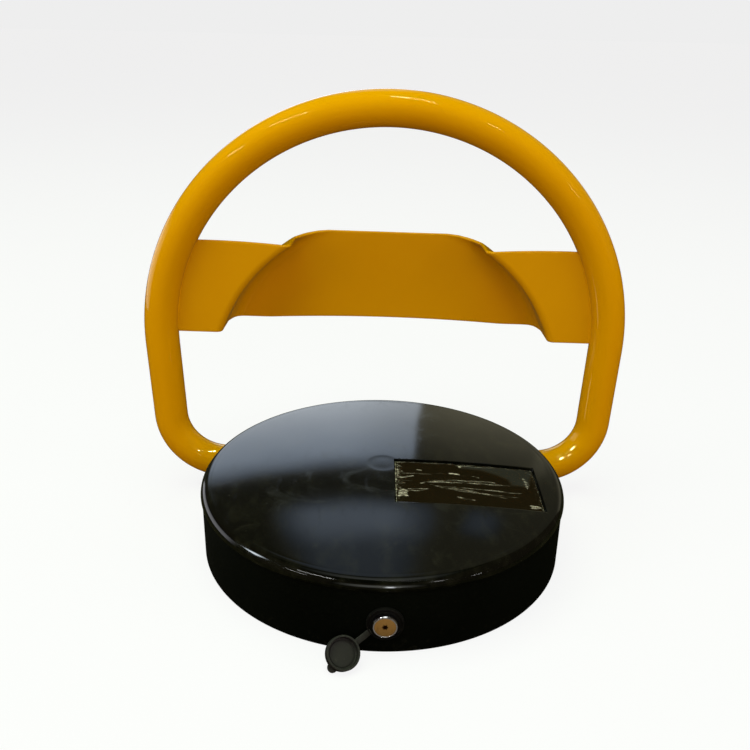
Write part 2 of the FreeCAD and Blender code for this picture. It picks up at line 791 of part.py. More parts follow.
def bearing_block():
    body = block(block_start, block_end, pivot_setback - block_half_length,
                 pivot_setback + block_half_length, floor_thickness, pivot_height)
    holes = [rod(bearing_screw_radius + screw_clearance, Vector(abs(seat.x), seat.y, 0), Z, 60)
             for seat in bearing_seats if seat.x > 0]
    return drilled(body.cut(bearing_bore()), holes)


def bearing_cap():
    ears = block(block_start, block_end, pivot_setback - block_half_length,
                 pivot_setback + block_half_length, pivot_height, pivot_height + block_ear)
    saddle = rod(bush_outer + block_saddle, Vector(block_start, pivot_setback, pivot_height), X, block_width)
    saddle = saddle.common(block(block_start, block_end, 0, 2 * pivot_setback, pivot_height, 2 * bush_outer
                                + pivot_height))
    holes = [rod(bearing_screw_radius + screw_clearance, Vector(seat.x, seat.y, 0), Z, 60)
             for seat in bearing_seats if seat.x > 0]
    heads = [rod(bearing_screw_radius * 2.1, Vector(seat.x, seat.y, seat.z), Z, 20)
             for seat in bearing_seats if seat.x > 0]
    return drilled(ears.fuse(saddle).cut(bearing_bore()).removeSplitter(), holes + heads)


# ---- gears --------------------------------------------------------------------------
def gear_face(teeth, module, thinning):
    """A spur gear's face about the origin in the YZ plane; a tooth points along +Y."""
    pitch = module * teeth / 2
    base = pitch * math.cos(math.radians(pressure_angle))
    tip = pitch + module * 0.95
    root = pitch - module * 1.2
    half_angle = math.pi / (2 * teeth) - thinning / pitch

    def involute(radius):
        if radius <= base:
            return 0.0
        angle = math.acos(base / radius)
        return math.tan(angle) - angle

    def at(radius, angle):
        return Vector(0, radius * math.cos(angle), radius * math.sin(angle))

    start = max(base, root + 0.05)
    radii = [start + (tip - start) * i / 4 for i in range(5)]
    points = []
    for tooth in range(teeth):
        middle = 2 * math.pi * tooth / teeth
        offsets = [half_angle + involute(pitch) - involute(radius) for radius in radii]
        rising = [at(root, middle - offsets[0])]
        rising += [at(radius, middle - offset) for radius, offset in zip(radii, offsets)]
        falling = [at(radius, middle + offset) for radius, offset in zip(radii[::-1], offsets[::-1])]
        falling.append(at(root, middle + offsets[0]))
        points += rising + falling
    return outline(points)


def gear_screw_seats():
    return [Vector(gear_inner, pivot_setback + gear_screw_circle * math.cos(math.radians(angle)),
                   pivot_height + gear_screw_circle * math.sin(math.radians(angle)))
            for angle in (45 + 360 * i / gear_screw_count for i in range(gear_screw_count))]


def drive_gear():
    solid = gear_face(gear_teeth, gear_module, tooth_play).extrude(X * gear_width)
    toward_pinion = 180 - mesh_angle
    solid = turned(solid, toward_pinion + 180 / gear_teeth, ORIGIN, X)
    solid.translate(Vector(gear_inner, pivot_setback, pivot_height))
    bore = rod(hub_nose_radius + touch_gap, Vector(gear_inner - 1, pivot_setback, pivot_height), X,
               gear_width + 2)
    holes = [rod(gear_screw_radius + screw_clearance, seat - X, X, gear_width + 2)
             for seat in gear_screw_seats()]
    return drilled(solid, [bore] + holes)


def tube_plug():
    """A stepped steel plug pressed into the tube's cut end."""
    flange = tube_end - hub_flange_thickness
    piece = rod(hub_flange_radius, Vector(flange, pivot_setback, pivot_height), X, hub_flange_thickness)
    shank = tube_radius - tube_wall - plug_clearance
    piece = piece.fuse(rod(shank, Vector(tube_end, pivot_setback, pivot_height), X, plug_length))
    return piece.cut(hub_pin_hole(touch_gap))


def gear_hub():
    nose = rod(hub_nose_radius, Vector(gear_inner + 1, pivot_setback, pivot_height), X,
               gear_width + hub_flange_thickness)
    piece = tube_plug().fuse(nose).removeSplitter()
    holes = [rod(gear_screw_radius + screw_clearance, seat, X, gear_width + hub_flange_thickness - 0.5)
             for seat in gear_screw_seats()]
    return drilled(piece, holes)


def magnet_place():
    return Vector(-(tube_end - hub_flange_thickness), pivot_setback, pivot_height + sensor_arm)


def idle_plug():
    """The left plug, with an upright arm for the position magnet."""
    piece = mirrored(tube_plug())
    far = -tube_end
    arm = block(far, far + hub_flange_thickness, pivot_setback - 5, pivot_setback + 5,
                pivot_height, pivot_height + sensor_arm + 5)
    piece = piece.fuse(arm).removeSplitter()
    pocket = rod(sensor_magnet_radius + touch_gap, magnet_place() - X * (magnet_length + touch_gap), X, 5)
    return piece.cut(pocket)


def position_magnet():
    return rod(sensor_magnet_radius, magnet_place() - X * magnet_length, X, magnet_length)


def pinion():
    solid = gear_face(pinion_teeth, gear_module, tooth_play).extrude(X * (gear_width + 2 * pinion_overhang))
    solid = turned(solid, -mesh_angle, ORIGIN, X)
    solid.translate(Vector(gear_inner - pinion_overhang, shaft_y, shaft_z))
    return solid.cut(rod(shaft_radius, Vector(0, shaft_y, shaft_z), X, 100))


def output_shaft():
    start = gearbox_back + gearbox_lid / 2
    return rod(shaft_radius, Vector(start, shaft_y, shaft_z), X, gear_inner + gear_width + 2 - start)


def worm_wheel():
    solid = gear_face(wheel_teeth, wheel_module, tooth_play).extrude(X * wheel_width)
    solid.translate(Vector(worm_x - wheel_width / 2, shaft_y, shaft_z))
    return solid.cut(rod(shaft_radius, Vector(0, shaft_y, shaft_z), X, 100))


# ---- gearmotor ----------------------------------------------------------------------
def gearbox_outside(shrink):
    return block(gearbox_back + shrink, gearbox_face - shrink, gearbox_front + shrink,
                 shaft_y + gearbox_behind - shrink, shaft_z - gearbox_half_height + shrink,
                 shaft_z + gearbox_half_height - shrink)


def gearbox_screw_seats():
    inset = gearbox_screw_inset
    return [Vector(gearbox_back, y, z)
            for y in (gearbox_front + inset, shaft_y + gearbox_behind - inset)
            for z in (shaft_z - gearbox_half_height + inset, shaft_z + gearbox_half_height - inset)]


def gearbox_cavity():
    return block(gearbox_back - 1, gearbox_face - gearbox_wall, gearbox_front + gearbox_wall + 3,
                 shaft_y + gearbox_behind - gearbox_wall - 4, shaft_z - gearbox_half_height + gearbox_wall,
                 shaft_z + gearbox_half_height - gearbox_wall)


def gearbox_housing():
    body = gearbox_outside(0).cut(block(gearbox_back - 1, gearbox_back + gearbox_lid, gearbox_front - 1,
                                          shaft_y + gearbox_behind + 1, 0, 2 * shaft_z))
    body = body.makeFillet(gearbox_corner, [edge for edge in body.Edges
                                            if abs(edge.tangentAt(edge.FirstParameter).x) > 0.99])
    body = body.cut(gearbox_cavity())
    body = body.cut(rod(shaft_radius + shaft_clearance, Vector(gearbox_back, shaft_y, shaft_z), X, 80))
    worm_hole = rod(worm_shaft_radius + shaft_clearance, Vector(worm_x, gearbox_front - 1, worm_z), Y, 70)
    holes = [rod(small_screw_radius + screw_clearance, seat, X, 14) for seat in gearbox_screw_seats()]
    mounts = [rod(small_screw_radius + screw_clearance, seat - X * 7, X, 12) for seat in face_screw_seats()]
    return drilled(body.cut(worm_hole), holes + mounts)


def gearbox_lid_plate():
    lid = block(gearbox_back, gearbox_back + gearbox_lid, gearbox_front, shaft_y + gearbox_behind,
                shaft_z - gearbox_half_height, shaft_z + gearbox_half_height)
    lid = lid.makeFillet(gearbox_corner, [edge for edge in lid.Edges
                                          if abs(edge.tangentAt(edge.FirstParameter).x) > 0.99])
    socket_floor = Vector(gearbox_back + gearbox_lid / 2 - shaft_clearance, shaft_y, shaft_z)
    socket = rod(shaft_radius + shaft_clearance, socket_floor, X, gearbox_lid)
    holes = [screw_hole(small_screw_radius, 3, seat, X) for seat in gearbox_screw_seats()]
    return drilled(lid, [socket] + holes)


def face_screw_seats():
    """Screws from the bracket into the gearbox's front face."""
    inset = mount_face_inset
    return [Vector(bracket_outer, gearbox_front + inset, shaft_z + gearbox_half_height - inset),
            Vector(bracket_outer, gearbox_front + inset, shaft_z - gearbox_half_height + inset + 4)]


def motor_bracket():
    top = shaft_z + gearbox_half_height + 1
    upright = block(gearbox_face, bracket_outer, gearbox_front, shaft_y + gearbox_behind,
                    floor_thickness, top)
    foot = block(gearbox_face - mount_foot, bracket_outer, gearbox_front, shaft_y + gearbox_behind,
                 floor_thickness, floor_thickness + bracket_thickness)
    piece = upright.fuse(foot).removeSplitter()
    window = rod(shaft_radius + 4, Vector(gearbox_face - 1, shaft_y, shaft_z), X, bracket_thickness + 2)
    holes = [rod(mount_screw_radius + screw_clearance, Vector(seat.x, seat.y, 0), Z, 9)
             for seat in mount_seats]
    face_holes = [rod(small_screw_radius + screw_clearance, seat - X * 5, X, 8)
                  for seat in face_screw_seats()]
    return drilled(piece, [window] + holes + face_holes)


def motor_can():
    start = Vector(worm_x, gearbox_front, worm_z)
    back = Vector(0, -1, 0)
    length = motor_length - motor_cap_length
    can = rod(motor_radius, start, back, length)
    can = can.cut(rod(motor_radius - motor_wall, start + back * 2, back, length))
    return can.cut(rod(worm_shaft_radius + shaft_clearance, start + Y, back, 5))


def motor_end_cap():
    start = Vector(worm_x, gearbox_front - motor_length + motor_cap_length, worm_z)
    cap = rod(motor_radius, start, Vector(0, -1, 0), motor_cap_length)
    cap = cap.cut(rod(worm_shaft_radius + shaft_clearance, start + Y, Vector(0, -1, 0), 4))
    return cap.makeChamfer(1.0, [edge for edge in cap.Edges
                                 if abs(edge.Length - 2 * math.pi * motor_radius) < 0.01
                                 and edge.CenterOfMass.y < start.y - 1])


def motor_magnets():
    start = Vector(worm_x, gearbox_front - motor_magnet_start, worm_z)
    outer = motor_radius - motor_wall
    ring = sleeve(outer, outer - magnet_thickness, start, Vector(0, -1, 0), motor_magnet_length)
    half = motor_magnet_split / 2
    gap = block(worm_x - outer, worm_x + outer, start.y - motor_length, start.y, worm_z - half, worm_z + half)
    return ring.cut(gap)


def motor_rotor():
    start = Vector(worm_x, gearbox_front - rotor_start, worm_z)
    body = rod(rotor_radius, start, Vector(0, -1, 0), rotor_length)
    half = rotor_slot_width / 2
    slot = block(worm_x - half, worm_x + half, start.y - rotor_length - 1, start.y + 1,
                 worm_z + rotor_slot_floor, worm_z + 2 * rotor_radius)
    slots = [turned(slot, 360 * i / rotor_slots, Vector(worm_x, 0, worm_z), Y) for i in range(rotor_slots)]
    body = drilled(body, slots)
    return body.cut(rod(worm_shaft_radius, start + Y, Vector(0, -1, 0), rotor_length + 2))


def worm_shaft():
    back = gearbox_front - motor_length + motor_cap_length - 2
    length = shaft_y + gearbox_behind - gearbox_wall - 4.5 - back
    shaft = rod(worm_shaft_radius, Vector(worm_x, back, worm_z), Y, length)
    worm = rod(worm_radius, Vector(worm_x, shaft_y - worm_length / 2, worm_z), Y, worm_length)
    return shaft.fuse(worm).removeSplitter()


# ---- key lock -----------------------------------------------------------------------
def lock_barrel():
    seat = lock_axis + Vector(0, lock_seat, 0)
    face = lock_axis + Vector(0, lock_face, 0)
    head = rod(lock_head_radius, face, Y, lock_head_depth)
    head = head.makeFillet(lock_head_edge, [edge for edge in head.Edges
                                            if edge.Curve.TypeId == "Part::GeomCircle"
                                            and abs(edge.CenterOfMass.y - lock_face) < 0.1])
    body = rod(lock_body_radius, seat, Y, lock_body_length - 1)
    bore = rod(lock_plug_radius + lock_plug_clearance, face - Y, Y, lock_head_depth + lock_body_length + 2)
    return head.fuse(body).removeSplitter().cut(bore)


def lock_plug():
    start = lock_axis + Vector(0, lock_face + lock_face_step, 0)
    plug = rod(lock_plug_radius, start, Y, lock_end - start.y)
    half = drive_square / 2
    plug = plug.fuse(block(lock_axis.x - half, lock_axis.x + half, lock_end, lock_end + drive_length,
                           lock_height - half, lock_height + half))
    keyway = rod(keyway_radius, start - Y, Y, keyway_depth + 1)
    bar = block(lock_axis.x - keyway_reach, lock_axis.x + keyway_reach, start.y - 1, start.y + keyway_depth,
                lock_height - keyway_width / 2, lock_height + keyway_width / 2)
    for angle in keyway_angles:
        keyway = keyway.fuse(turned(bar, angle, start, Y))
    return plug.removeSplitter().cut(keyway)


def lock_cam():
    low, high = lock_end, lock_end + cam_thickness
    half = cam_half_width
    arm = block(lock_axis.x, lock_axis.x + cam_length, low, high, lock_height - half, lock_height + half)
    disc = rod(cam_disc_radius, Vector(lock_axis.x, low, lock_height), Y, cam_thickness)
    hole = drive_square / 2 + touch_gap
    square = block(lock_axis.x - hole, lock_axis.x + hole, low - 1, high + 1,
                   lock_height - hole, lock_height + hole)
    return arm.fuse(disc).removeSplitter().cut(square)


def cam_screw():
    seat = Vector(lock_axis.x, lock_end + drive_length, lock_height)
    socket = rod(cam_screw_height, seat + Y * (cam_screw_height / 3), Y, cam_screw_height)
    return rod(cam_screw_radius, seat, Y, cam_screw_height).cut(socket)


def lock_nut():
    corner = lock_nut_flats / math.sqrt(3)
    edge = lock_offset + corner
    start = lock_axis + Vector(0, -math.sqrt(wall_inner ** 2 - edge ** 2) + touch_gap, 0)
    points = [start + Vector(corner * math.cos(math.radians(60 * i)), 0,
                             corner * math.sin(math.radians(60 * i))) for i in range(6)]
    nut = outline(points).extrude(Y * lock_nut_thickness)
    return nut.cut(rod(lock_body_radius + touch_gap, start - Y, Y, lock_nut_thickness + 2))


# ---- dust cap -----------------------------------------------------------------------
def strap_bar(near, far, rise_near, rise_far):
    """A flat strap in the plane of the strap line, between two distances from the lock."""
    def at(distance, rise):
        return lock_axis + strap_line * distance + Vector(0, hinge_y - rise, 0)
    start, end = at(near, rise_near), at(far, rise_far)
    along = (end - start).normalize()
    normal = along.cross(hinge_axis).normalize()
    side = hinge_axis * (strap_width / 2)
    up = normal * (strap_thickness / 2)
    points = [start + side + up, end + side + up, end - side + up, start - side + up]
    return outline(points).extrude(normal * -strap_thickness)


def dust_collar():
    """Rubber collar under the lock's head, with the fixed half of the cap's strap."""
    seat = lock_axis + Vector(0, lock_seat, 0)
    disc = rod(collar_radius, seat, Y, lock_body_radius)
    bead = Part.makeTorus(collar_radius - collar_bead, collar_bead, seat, Y)
    piece = disc.fuse(bead).cut(rod(base_radius + touch_gap, Vector(0, 0, -5), Z, 100))
    piece = piece.cut(rod(lock_body_radius + lock_hole_clearance, seat - Y * 5, Y, 20))
    strap = strap_bar(collar_radius - collar_bead, strap_hinge_distance - strap_gap,
                      strap_inset - lock_head_depth - strap_thickness / 2, -strap_gap / 2)
    return piece.fuse(strap).removeSplitter()


def closed_cap():
    rim = lock_axis + Vector(0, lock_seat - cap_clearance, 0)
    out = Vector(0, -1, 0)
    cup = rod(cap_radius, rim, out, cap_depth + cap_top)
    half = cap_tab_width / 2
    round_centre = X * (cap_tab_length - half)
    tab = block(0, round_centre.x, -cap_top, 0, -half, half)
    tab = turned(tab.fuse(rod(half, round_centre, -Y, cap_top)), 180 - strap_direction, ORIGIN, Y)
    tab.translate(rim + out * cap_depth)
    strap = strap_bar(cap_radius - cap_wall / 2, strap_hinge_distance - strap_thickness * 3, 0, 0)
    cup = cup.fuse(tab).fuse(strap).removeSplitter()
    return cup.cut(rod(cap_radius - cap_wall, rim + Y, out, cap_depth + 1))


def dust_cap():
    return turned(closed_cap(), cap_open_angle, hinge_point, flip_axis)


# ---- battery holder -----------------------------------------------------------------
def cell_x(index):
    return (index - (cell_count - 1) / 2) * cell_pitch



def battery_holder():
    tray = block(-holder_half, holder_half, holder_front, holder_back, floor_thickness,
                 floor_thickness + holder_height)
    inside = block(-holder_half + holder_wall, holder_half - holder_wall, holder_front + holder_wall,
                   holder_back - holder_wall, floor_thickness + holder_wall, 100)
    tray = tray.cut(inside)
    for index in range(cell_count - 1):
        x = (cell_x(index) + cell_x(index + 1)) / 2
        rib = block(x - holder_rib_thickness / 2, x + holder_rib_thickness / 2, holder_front, holder_back,
                    floor_thickness, floor_thickness + holder_rib_height)
        tray = tray.fuse(rib)
    holes = [rod(holder_screw_radius + screw_clearance, Vector(seat.x, seat.y, 0), Z, 12)
             for seat in holder_seats]
    heads = [rod(holder_screw_radius * 2, Vector(seat.x, seat.y, seat.z), Z, 3) for seat in holder_seats]
    return drilled(tray.removeSplitter(), holes + heads)


def d_cells():
    middle = (holder_front + holder_back) / 2
    cells = []
    for index in range(cell_count):
        way = 1 if index % 2 else -1
        start = Vector(cell_x(index), middle - way * cell_length / 2, cell_z)
        direction = Vector(0, way, 0)
        body = rod(cell_radius, start, direction, cell_length - cell_cap_height)
        cells.append(body.fuse(rod(cell_cap_radius, start, direction, cell_length)).removeSplitter())
    return cells


def cell_contacts():
    pieces = []
    for index in range(cell_count):
        x = cell_x(index)
        for y in (holder_front + holder_wall, holder_back - holder_wall - contact_thickness):
            pieces.append(block(x - contact_half_width, x + contact_half_width, y, y + contact_thickness,
                                cell_z - 2 * contact_half_width, cell_z + contact_half_width))
    return pieces


def battery_strap():
    """A steel band over the cells, hooked on the tray's sides."""
    middle = (holder_front + holder_back) / 2
    half = band_half_width
    top = cell_z + cell_radius + cell_clearance / 2
    reach = holder_half + touch_gap
    outside = reach + band_thickness
    band = block(-outside, outside, middle - half, middle + half, floor_thickness + touch_gap,
                 top + band_thickness)
    return band.cut(block(-reach, reach, middle - cell_length, middle + cell_length, 0, top))


# ---- electronics --------------------------------------------------------------------
def standoffs():
    return [sleeve(standoff_radius, small_screw_radius + screw_clearance, corner, Z, board_standoff)
            for corner in board_corners]


def circuit_board():
    board = block(board_left, board_left + board_length, board_front, board_front + board_width,
                  board_low, board_top)
    holes = [rod(small_screw_radius + screw_clearance, corner, Z, 30) for corner in board_corners]
    return drilled(board, holes)


def board_screws():
    down = Vector(0, 0, -1)
    return [screw(small_screw_radius, board_top - 0.5, Vector(corner.x, corner.y, board_top), down)
            for corner in board_corners]


def board_place(x, y):
    return Vector(board_left + x, board_front + y, board_top)


def relays():
    pieces = []
    for x, y in relay_places:
        relay = Part.makeBox(*relay_size, board_place(x, y))
        pieces.append(relay.makeFillet(relay_corner, relay.Edges))
    return pieces


def control_chip():
    length, width, height = chip_size
    x, y = chip_place
    chip = Part.makeBox(length, width, height, board_place(x, y))
    legs = int(length / chip_leg_pitch) - 1
    for leg in range(legs):
        for row in (-chip_leg_size[1], width):
            place = board_place(x + chip_leg_pitch * (leg + 0.75), y + row)
            chip = chip.fuse(Part.makeBox(*chip_leg_size, place))
    return chip.removeSplitter()


def capacitors():
    return [rod(radius, board_place(x, y), Z, height) for x, y, radius, height in capacitor_places]


def terminal_block():
    """Each way has a screw hole on top and a square lead hole in front."""
    x, y = terminal_place
    body = Part.makeBox(*terminal_size, board_place(x, y))
    for index in range(terminal_count):
        middle = x + terminal_pitch * (index + 0.5)
        top = board_place(middle, y + terminal_size[1] / 2) + Z * (terminal_size[2] - terminal_hole)
        body = body.cut(rod(terminal_hole / 2, top, Z, 2 * terminal_hole))
        front = board_place(middle - terminal_hole / 2, 0)
        body = body.cut(Part.makeBox(terminal_hole, terminal_hole, terminal_hole, front))
    return body


def buzzer():
    centre = Vector(*buzzer_place, floor_thickness)
    body = rod(buzzer_radius, centre, Z, buzzer_height)
    body = body.cut(rod(buzzer_radius - buzzer_wall, centre + Z * buzzer_wall, Z,
                        buzzer_height - 2 * buzzer_wall))
    return body.cut(rod(buzzer_wall, centre + Z * buzzer_height / 2, Z, buzzer_height))


def sensor_bracket():
    left = sensor_x
    upright = block(left, left + sensor_sheet, pivot_setback - sensor_ahead, pivot_setback + sensor_behind,
                    floor_thickness, pivot_height + sensor_arm + sensor_rise)
    foot = block(left, left + sensor_sheet + sensor_foot, pivot_setback - sensor_ahead,
                 pivot_setback + sensor_behind, floor_thickness, floor_thickness + sensor_sheet)
    piece = upright.fuse(foot).removeSplitter()
    holes = [rod(small_screw_radius + screw_clearance, Vector(seat.x, seat.y, 0), Z, 8)
             for seat in sensor_seats]
    return drilled(piece, holes)


def reed_switches():
    """One for each end of the loop's travel."""
    left = sensor_x
    places = [(pivot_setback, pivot_height + sensor_arm), (pivot_setback - sensor_arm, pivot_height)]
    return [rod(reed_radius, Vector(left - reed_radius - touch_gap, y - reed_length / 2, z), Y, reed_length)
            for y, z in places]


def bent_lead(points, radius):
    """A lead of straight runs joined by tangent arcs."""
    edges = []
    here = points[0]
    for before, corner, after in zip(points, points[1:], points[2:]):
        into = (corner - before).normalize()
        out = (after - corner).normalize()
        turn = into.getAngle(out)
        run = 0.45 * min((corner - before).Length, (after - corner).Length)
        bend = run / math.tan(turn / 2)
        start = corner - into * run
        end = corner + out * run
        centre_way = (out - into).normalize()
        centre = corner + centre_way * (bend / math.cos(turn / 2))
        middle = centre - centre_way * bend
        edges.append(line(here, start))
        edges.append(Part.Arc(start, middle, end).toShape())
        here = end
    edges.append(line(here, points[-1]))
    path = Part.Wire(edges)
    ring = Part.Wire(Part.makeCircle(radius, points[0], (points[1] - points[0]).normalize()))
    return path.makePipeShell([ring], True, False)


def terminal(index):
    """Where a lead leaves the terminal block's front."""
    return Vector(board_left + terminal_place[0] + terminal_pitch * (index + 0.5),
                  board_front + terminal_place[1] - lead_end_gap, board_top + terminal_hole / 2)


def internal_leads():
    """Battery, motor and sensor leads, each one jacketed pair."""
    lane = holder_back + lead_lane
    battery_end = Vector(cell_x(0), holder_back + lead_end_gap, lead_height)
    battery = [terminal(0), terminal(0) - Y * lead_run, Vector(battery_end.x, lane, lead_height), battery_end]
    last = terminal(terminal_count - 1)
    motor_end = Vector(worm_x - motor_radius - lead_end_gap,
                       gearbox_front - motor_length + motor_cap_length / 2, worm_z)
    motor = [last, last - Y * lead_run, Vector(last.x, lane, lead_height),
             motor_end - X * lead_run, motor_end]
    sensor_end = Vector(sensor_x + sensor_sheet + lead_radius + lead_end_gap,
                        pivot_setback - sensor_ahead + lead_radius, lead_height)
    sensor = [terminal(1), terminal(1) - Y * lead_run,
              Vector(board_left - lead_board_gap, board_front - lead_board_gap, lead_height),
              Vector(sensor_end.x, (board_front + sensor_end.y) / 2, lead_height), sensor_end]
    return [bent_lead(route, lead_radius) for route in (battery, motor, sensor)]


# ---- build everything ---------------------------------------------------------------
os.makedirs("parts", exist_ok=True)

solid_loop = swept(tube_radius)
plate = cross_plate(solid_loop)

save("base_plate", base_plate())
save("side_wall", side_wall())
save("wall_brackets", wall_brackets())
save("wall_bracket_screws", floor_screws(bracket_seats, bracket_screw_radius))
save("tube_grommets", both_sides(grommet()))
save("cover_gasket", cover_gasket())
save("top_cover", top_cover())
save("inset_panel", inset_panel())
save("cover_latch", cover_latch())
save("cover_latch_screws", [screw(small_screw_radius, latch_screw_length, seat, Z)
                            for seat in latch_seats()])
save("rear_keepers", rear_keepers())

save("loop_tube", loop_tube(solid_loop))
save("cross_plate", plate)
save("plate_welds", plate_welds(solid_loop, plate))

save("bearing_blocks", both_sides(bearing_block()))
save("bearing_caps", both_sides(bearing_cap()))
save("pivot_bushes", both_sides(bush()))
save("bearing_screws", floor_screws(bearing_seats, bearing_screw_radius))

save("gear_hub", gear_hub())
save("idle_plug", idle_plug())
save("position_magnet", position_magnet())
save("tube_pins", both_sides(hub_pin_hole(0)))
save("drive_gear", drive_gear())
save("gear_screws", [screw(gear_screw_radius, gear_screw_length, seat, X, height=gear_screw_head)
                     for seat in gear_screw_seats()])

save("pinion", pinion())
save("output_shaft", output_shaft())
save("worm_wheel", worm_wheel())
save("worm_shaft", worm_shaft())
save("motor_rotor", motor_rotor())
save("gearbox_housing", gearbox_housing())
save("gearbox_lid", gearbox_lid_plate())
save("gearbox_screws", [screw(small_screw_radius, gearbox_screw_length, seat, X)
                        for seat in gearbox_screw_seats()])
save("motor_can", motor_can())
save("motor_end_cap", motor_end_cap())
save("motor_magnets", motor_magnets())
save("motor_bracket", motor_bracket())
save("motor_bracket_screws", floor_screws(mount_seats, mount_screw_radius)
     + [screw(small_screw_radius, face_screw_length, seat, Vector(-1, 0, 0))
        for seat in face_screw_seats()])

save("lock_barrel", lock_barrel())
save("lock_plug", lock_plug())
save("lock_cam", lock_cam())
save("lock_cam_screw", cam_screw())
save("lock_nut", lock_nut())
save("dust_collar", dust_collar())
save("dust_cap", dust_cap())

save("battery_holder", battery_holder())
save("battery_holder_screws", floor_screws(holder_seats, holder_screw_radius))
save("battery_cells", d_cells())
save("battery_contacts", cell_contacts())
save("battery_strap", battery_strap())
save("circuit_board", circuit_board())
save("board_standoffs", standoffs())
save("relays", relays())
save("control_chip", control_chip())
save("capacitors", capacitors())
save("terminal_block", terminal_block())
save("sensor_bracket", sensor_bracket())
save("reed_switches", reed_switches())
save("buzzer", buzzer())
save("internal_leads", internal_leads())
save("board_screws", board_screws())
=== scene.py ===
# Folding parking lock, dressed for show: gloss black dome with a film-covered panel, matte black wall,
# amber powder-coated loop with its recessed cross plate, and a key lock with its rubber cap hanging open.
# Shapes are drawn in millimetres and scaled to metres when a piece is finished.
import math

import bmesh
import bpy
from mathutils import Matrix, Vector, noise


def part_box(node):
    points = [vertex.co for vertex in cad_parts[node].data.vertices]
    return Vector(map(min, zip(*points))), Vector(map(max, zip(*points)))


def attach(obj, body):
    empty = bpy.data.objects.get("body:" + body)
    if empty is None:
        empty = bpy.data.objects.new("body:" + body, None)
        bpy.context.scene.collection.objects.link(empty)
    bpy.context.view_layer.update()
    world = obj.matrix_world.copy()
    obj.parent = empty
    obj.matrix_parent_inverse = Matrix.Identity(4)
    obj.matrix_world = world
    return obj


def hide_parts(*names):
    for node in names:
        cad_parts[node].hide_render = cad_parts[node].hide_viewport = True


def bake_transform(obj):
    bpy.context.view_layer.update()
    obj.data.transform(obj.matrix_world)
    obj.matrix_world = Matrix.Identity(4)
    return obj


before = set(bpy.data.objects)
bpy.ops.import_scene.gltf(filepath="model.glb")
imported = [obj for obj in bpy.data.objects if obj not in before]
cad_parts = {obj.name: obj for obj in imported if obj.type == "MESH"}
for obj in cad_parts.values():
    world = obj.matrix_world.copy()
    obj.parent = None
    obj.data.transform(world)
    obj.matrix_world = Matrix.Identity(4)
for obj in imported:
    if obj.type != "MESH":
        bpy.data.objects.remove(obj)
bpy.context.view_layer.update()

MM = 0.001


def span(node):
    """A CAD node's lowest and highest corner, in millimetres."""
    low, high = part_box(node)
    return low / MM, high / MM


# ---- sizes read from the frame ------------------------------------------------------
wall_high = span("side_wall")[1]
cover_high = span("top_cover")[1]
loop_low, loop_high = span("loop_tube")
plate_low = span("cross_plate")[0]
head_low, head_high = span("lock_barrel")
base_radius = wall_high.x
wall_height = wall_high.z
cover_radius = cover_high.x
dome_top = cover_high.z
pivot_y = (loop_low.y + loop_high.y) / 2
tube_radius = (loop_high.y - loop_low.y) / 2
pivot_z = loop_low.z + tube_radius
arch_radius = loop_high.x - tube_radius
arch_z = loop_high.z - tube_radius - arch_radius
plate_bottom = plate_low.z
lock_x = (head_low.x + head_high.x) / 2
lock_z = (head_low.z + head_high.z) / 2
lock_face = head_low.y

# ---- sizes shared with the part's source --------------------------------------------
wall_thickness = 3.0
skirt_gap = 0.25
skirt_drop = 1.2
edge_radius = 5.0
gasket_thickness = 1.2
dome_rise = 10.0
cover_thickness = 3.0
dimple_radius = 11.5
panel_length = 129.0
panel_width = 72.0
panel_left = 10.5
panel_back = 8.0
panel_thickness = 2.0
pocket_depth = 3.5
pocket_wall = 2.5
tongue_angles = (62, 118)
tongue_inner = 147.0
tongue_thickness = 2.5
tongue_toe = 156.0
tongue_low = 43.0
tongue_half_width = 8.0
boss_left = 10.0  # block under the cover that holds the latch
boss_right = 28.0
boss_front = -137.5
boss_back = -123.5
boss_low = 58.0
tube_wall = 2.5
tube_end = 82.0
leg_lean = 1.8
elbow_radius = 54.0
slot_radius = 18.5
sheet_thickness = 3.0
recess_depth = 50.0
recess_clearance = 3.1
shoulder_radius = 6.0
valley_radius = 12.0
plate_height = 90.0
plate_middle_width = 116.3
plate_arch = 3.5
weld_offset = 0.2
weld_stop = 2.0
lock_head_depth = 4.5
lock_body_radius = 9.4
lock_plug_radius = 8.2
lock_body_length = 23.0
lock_hole_gap = 0.2
collar_radius = 14.5
cap_top = 1.8
cap_clearance = 0.3
strap_width = 5.0
strap_thickness = 1.2
strap_direction = math.radians(212)
strap_hinge_distance = 19.6
strap_inset = 2.0
cap_hinge_tilt = math.radians(15)
cap_open_angle = math.radians(140)

# ---- sizes that only the visible shapes have ----------------------------------------
rounding = 8.5  # the cover's edge
groove_sink = 0.03
groove_half_width = 1.6
dimple_sink = 0.10
dimple_reach = dimple_radius * 1.35
under_pocket_depth = 3.0
sheet_gap = 0.6  # panel sheet to the pocket's left and front
sheet_right_gap = 2.0
sheet_back_gap = 3.0
film_inset = 0.15  # panel sheet's edge to the film's
film_thickness = 0.05
film_sink = 0.12
flank_reach = 18.0  # how far the plate's raised middle stops inside the recess
wing_overlap = 1.6  # how far the wings reach into the tube
plate_dip = 3.4
plate_crown = 1.0
plate_end_rise = 2.0
plate_end_bow = 1.08
plate_tilt = math.radians(0.75)
plate_edge = 1.25
weld_radius = 1.3
lock_head_radius = 9.9
collar_back = 2.6
cap_radius = 13.0
cap_wall = 1.5
cap_depth = 5.4
tab_root = 2.5  # how deep the tab starts inside the cap's side
tab_length = 15.6
tab_width = 8.0
tab_turn = math.radians(-18)

